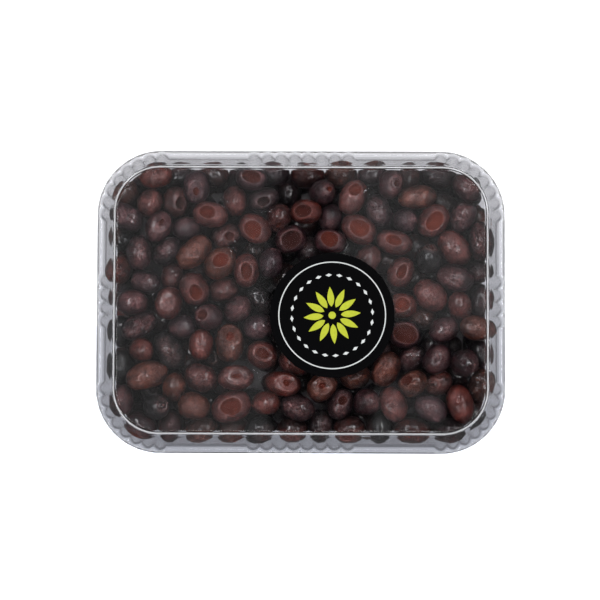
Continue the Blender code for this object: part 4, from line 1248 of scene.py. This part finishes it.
# The floor, the lights and the camera
# A pale table that the camera sees blank white, softboxes high at the sides, and dim panels
# level with the camera whose reflections lie like a haze over parts of the lid.
FLOOR_SIZE = 3.0
FLOOR_GLOW = 1.3
FLOOR_GLOW_THROUGH = 0.58
# Painted light and shade on the floor: darker and bluer towards the front, lighter towards the back and a
# little lighter at the right.
FALL_OFF_SPAN = (-0.07, 0.07)
FALL_OFF = (0.70, 1.25)
RIGHT_SPAN = (0.06, 0.09)
RIGHT_LIFT = 1.08
FRONT_GLOW_COLOUR = (0.93, 0.97, 1.06, 1)
CAMERA_ELEVATION = 86.3
CAMERA_DISTANCE = 1.0
CAMERA_AIM = (-0.0002, 0.0004, 0.045)
CAMERA_LENS = 129.6
CAMERA_ROLL = -0.2
CAMERA_HEIGHT = 1.043


def floor_paint(name):
    """A pale table, blank white to the camera, duller through the plastic and dark in mirrorings, with
    painted shade towards the front and painted light towards the back and the right.
    """
    material, paint, _, place = new_material(name)
    patches = noise(material, place, 3, 2)
    wire(material, mix(material, "MIX", patches, (0.12, 0.12, 0.125, 1), (0.14, 0.14, 0.14, 1)),
         paint.inputs["Base Color"])
    paint.inputs["Roughness"].default_value = 0.8
    spot = add_node(material, "ShaderNodeSeparateXYZ", {0: place}).outputs
    # Painted light and shade: the glow through the plastic falls off towards the front and lifts at the
    # right.
    painted_falloff = calculate(material, "MULTIPLY", spread(material, spot["Y"], *FALL_OFF_SPAN, *FALL_OFF),
                     spread(material, spot["X"], *RIGHT_SPAN, 1, RIGHT_LIFT))
    path = add_node(material, "ShaderNodeLightPath").outputs
    mirrored = calculate(material, "ADD", path["Glossy Depth"], path["Diffuse Depth"])
    glow = calculate(material, "MULTIPLY", spread(material, mirrored, 0, 1, FLOOR_GLOW_THROUGH, 0), painted_falloff)
    glow = calculate(material, "MULTIPLY_ADD", path["Is Camera Ray"], FLOOR_GLOW, glow)
    wire(material, glow, paint.inputs["Emission Strength"])
    far_back = spread(material, spot["Y"], *FALL_OFF_SPAN)
    glow_colour = mix(material, "MIX", far_back, FRONT_GLOW_COLOUR, (1, 1, 1, 1))
    wire(material, glow_colour, paint.inputs["Emission Color"])
    return material


half_floor = FLOOR_SIZE / 2
floor_corners = [(x * half_floor, y * half_floor, 0) for x, y in ((-1, -1), (1, -1), (1, 1), (-1, 1))]
floor = add_piece("floor", floor_corners, [(0, 1, 2, 3)], floor_paint("pale floor"))


def softbox(name, place, size, brightness, aim=(0, 0, 0.03)):
    """A rectangular lamp that faces its aim; brightness is what a white sheet there would show."""
    lamp = bpy.data.lights.new(name, "AREA")
    lamp.shape = "RECTANGLE"
    lamp.size, lamp.size_y = size
    lamp.energy = brightness * math.pi * size[0] * size[1]
    made = bpy.data.objects.new(name, lamp)
    made.location = place
    made.rotation_euler = (Vector(aim) - Vector(place)).to_track_quat("-Z", "Y").to_euler()
    made.visible_camera = False
    bpy.context.scene.collection.objects.link(made)
    return made


def haze_panel(name, low, high, brightness):
    """A dim panel level with the camera, from its low to its high corner."""
    middle = ((low[0] + high[0]) / 2, (low[1] + high[1]) / 2, CAMERA_HEIGHT)
    return softbox(name, middle, (high[0] - low[0], high[1] - low[1]), brightness, (*middle[:2], 0))


softbox("left softbox", (-0.47, 0.05, 1.0), (1.1, 0.22), 8)
softbox("right softbox", (0.47, 0.05, 1.0), (1.1, 0.22), 8)
softbox("back softbox", (0, 0.49, 1.0), (0.9, 0.22), 5)
softbox("front softbox", (0, -0.34, 1.0), (0.9, 0.2), 3.4)
for number, (across, along) in enumerate(((-1.2, 0), (1.2, 0), (0, -1.2), (0, 1.2))):
    softbox(f"side screen {number}", (across, along, 0.42), (2.2, 0.8), 0.3)
haze_panel("left haze panel", (-0.34, -0.217), (-0.028, 0.543), 0.33)
haze_panel("right haze panel", (0.036, 0.039), (0.38, 0.543), 0.42)
haze_panel("small haze panel", (0.068, -0.055), (0.135, -0.011), 0.33)

room = bpy.data.worlds.new("room")
bpy.context.scene.world = room
room.use_nodes = True
room.node_tree.nodes["Background"].inputs["Color"].default_value = (0.9, 0.93, 1.0, 1)
room.node_tree.nodes["Background"].inputs["Strength"].default_value = 0.012

camera = bpy.data.objects.new("camera", bpy.data.cameras.new("camera"))
bpy.context.scene.collection.objects.link(camera)
tilt = math.radians(CAMERA_ELEVATION)
camera.location = (CAMERA_AIM[0], CAMERA_AIM[1] - CAMERA_DISTANCE * math.cos(tilt),
                   CAMERA_AIM[2] + CAMERA_DISTANCE * math.sin(tilt))
camera.rotation_euler = (math.pi / 2 - tilt, 0, math.radians(-CAMERA_ROLL))
camera.data.lens = CAMERA_LENS
camera.data.clip_start = 0.01
bpy.context.scene.camera = camera

bpy.context.scene.view_settings.view_transform = "Standard"
bpy.context.scene.cycles.transparent_max_bounces = 32
bpy.context.scene.cycles.transmission_bounces = 16
bpy.context.scene.cycles.max_bounces = 16
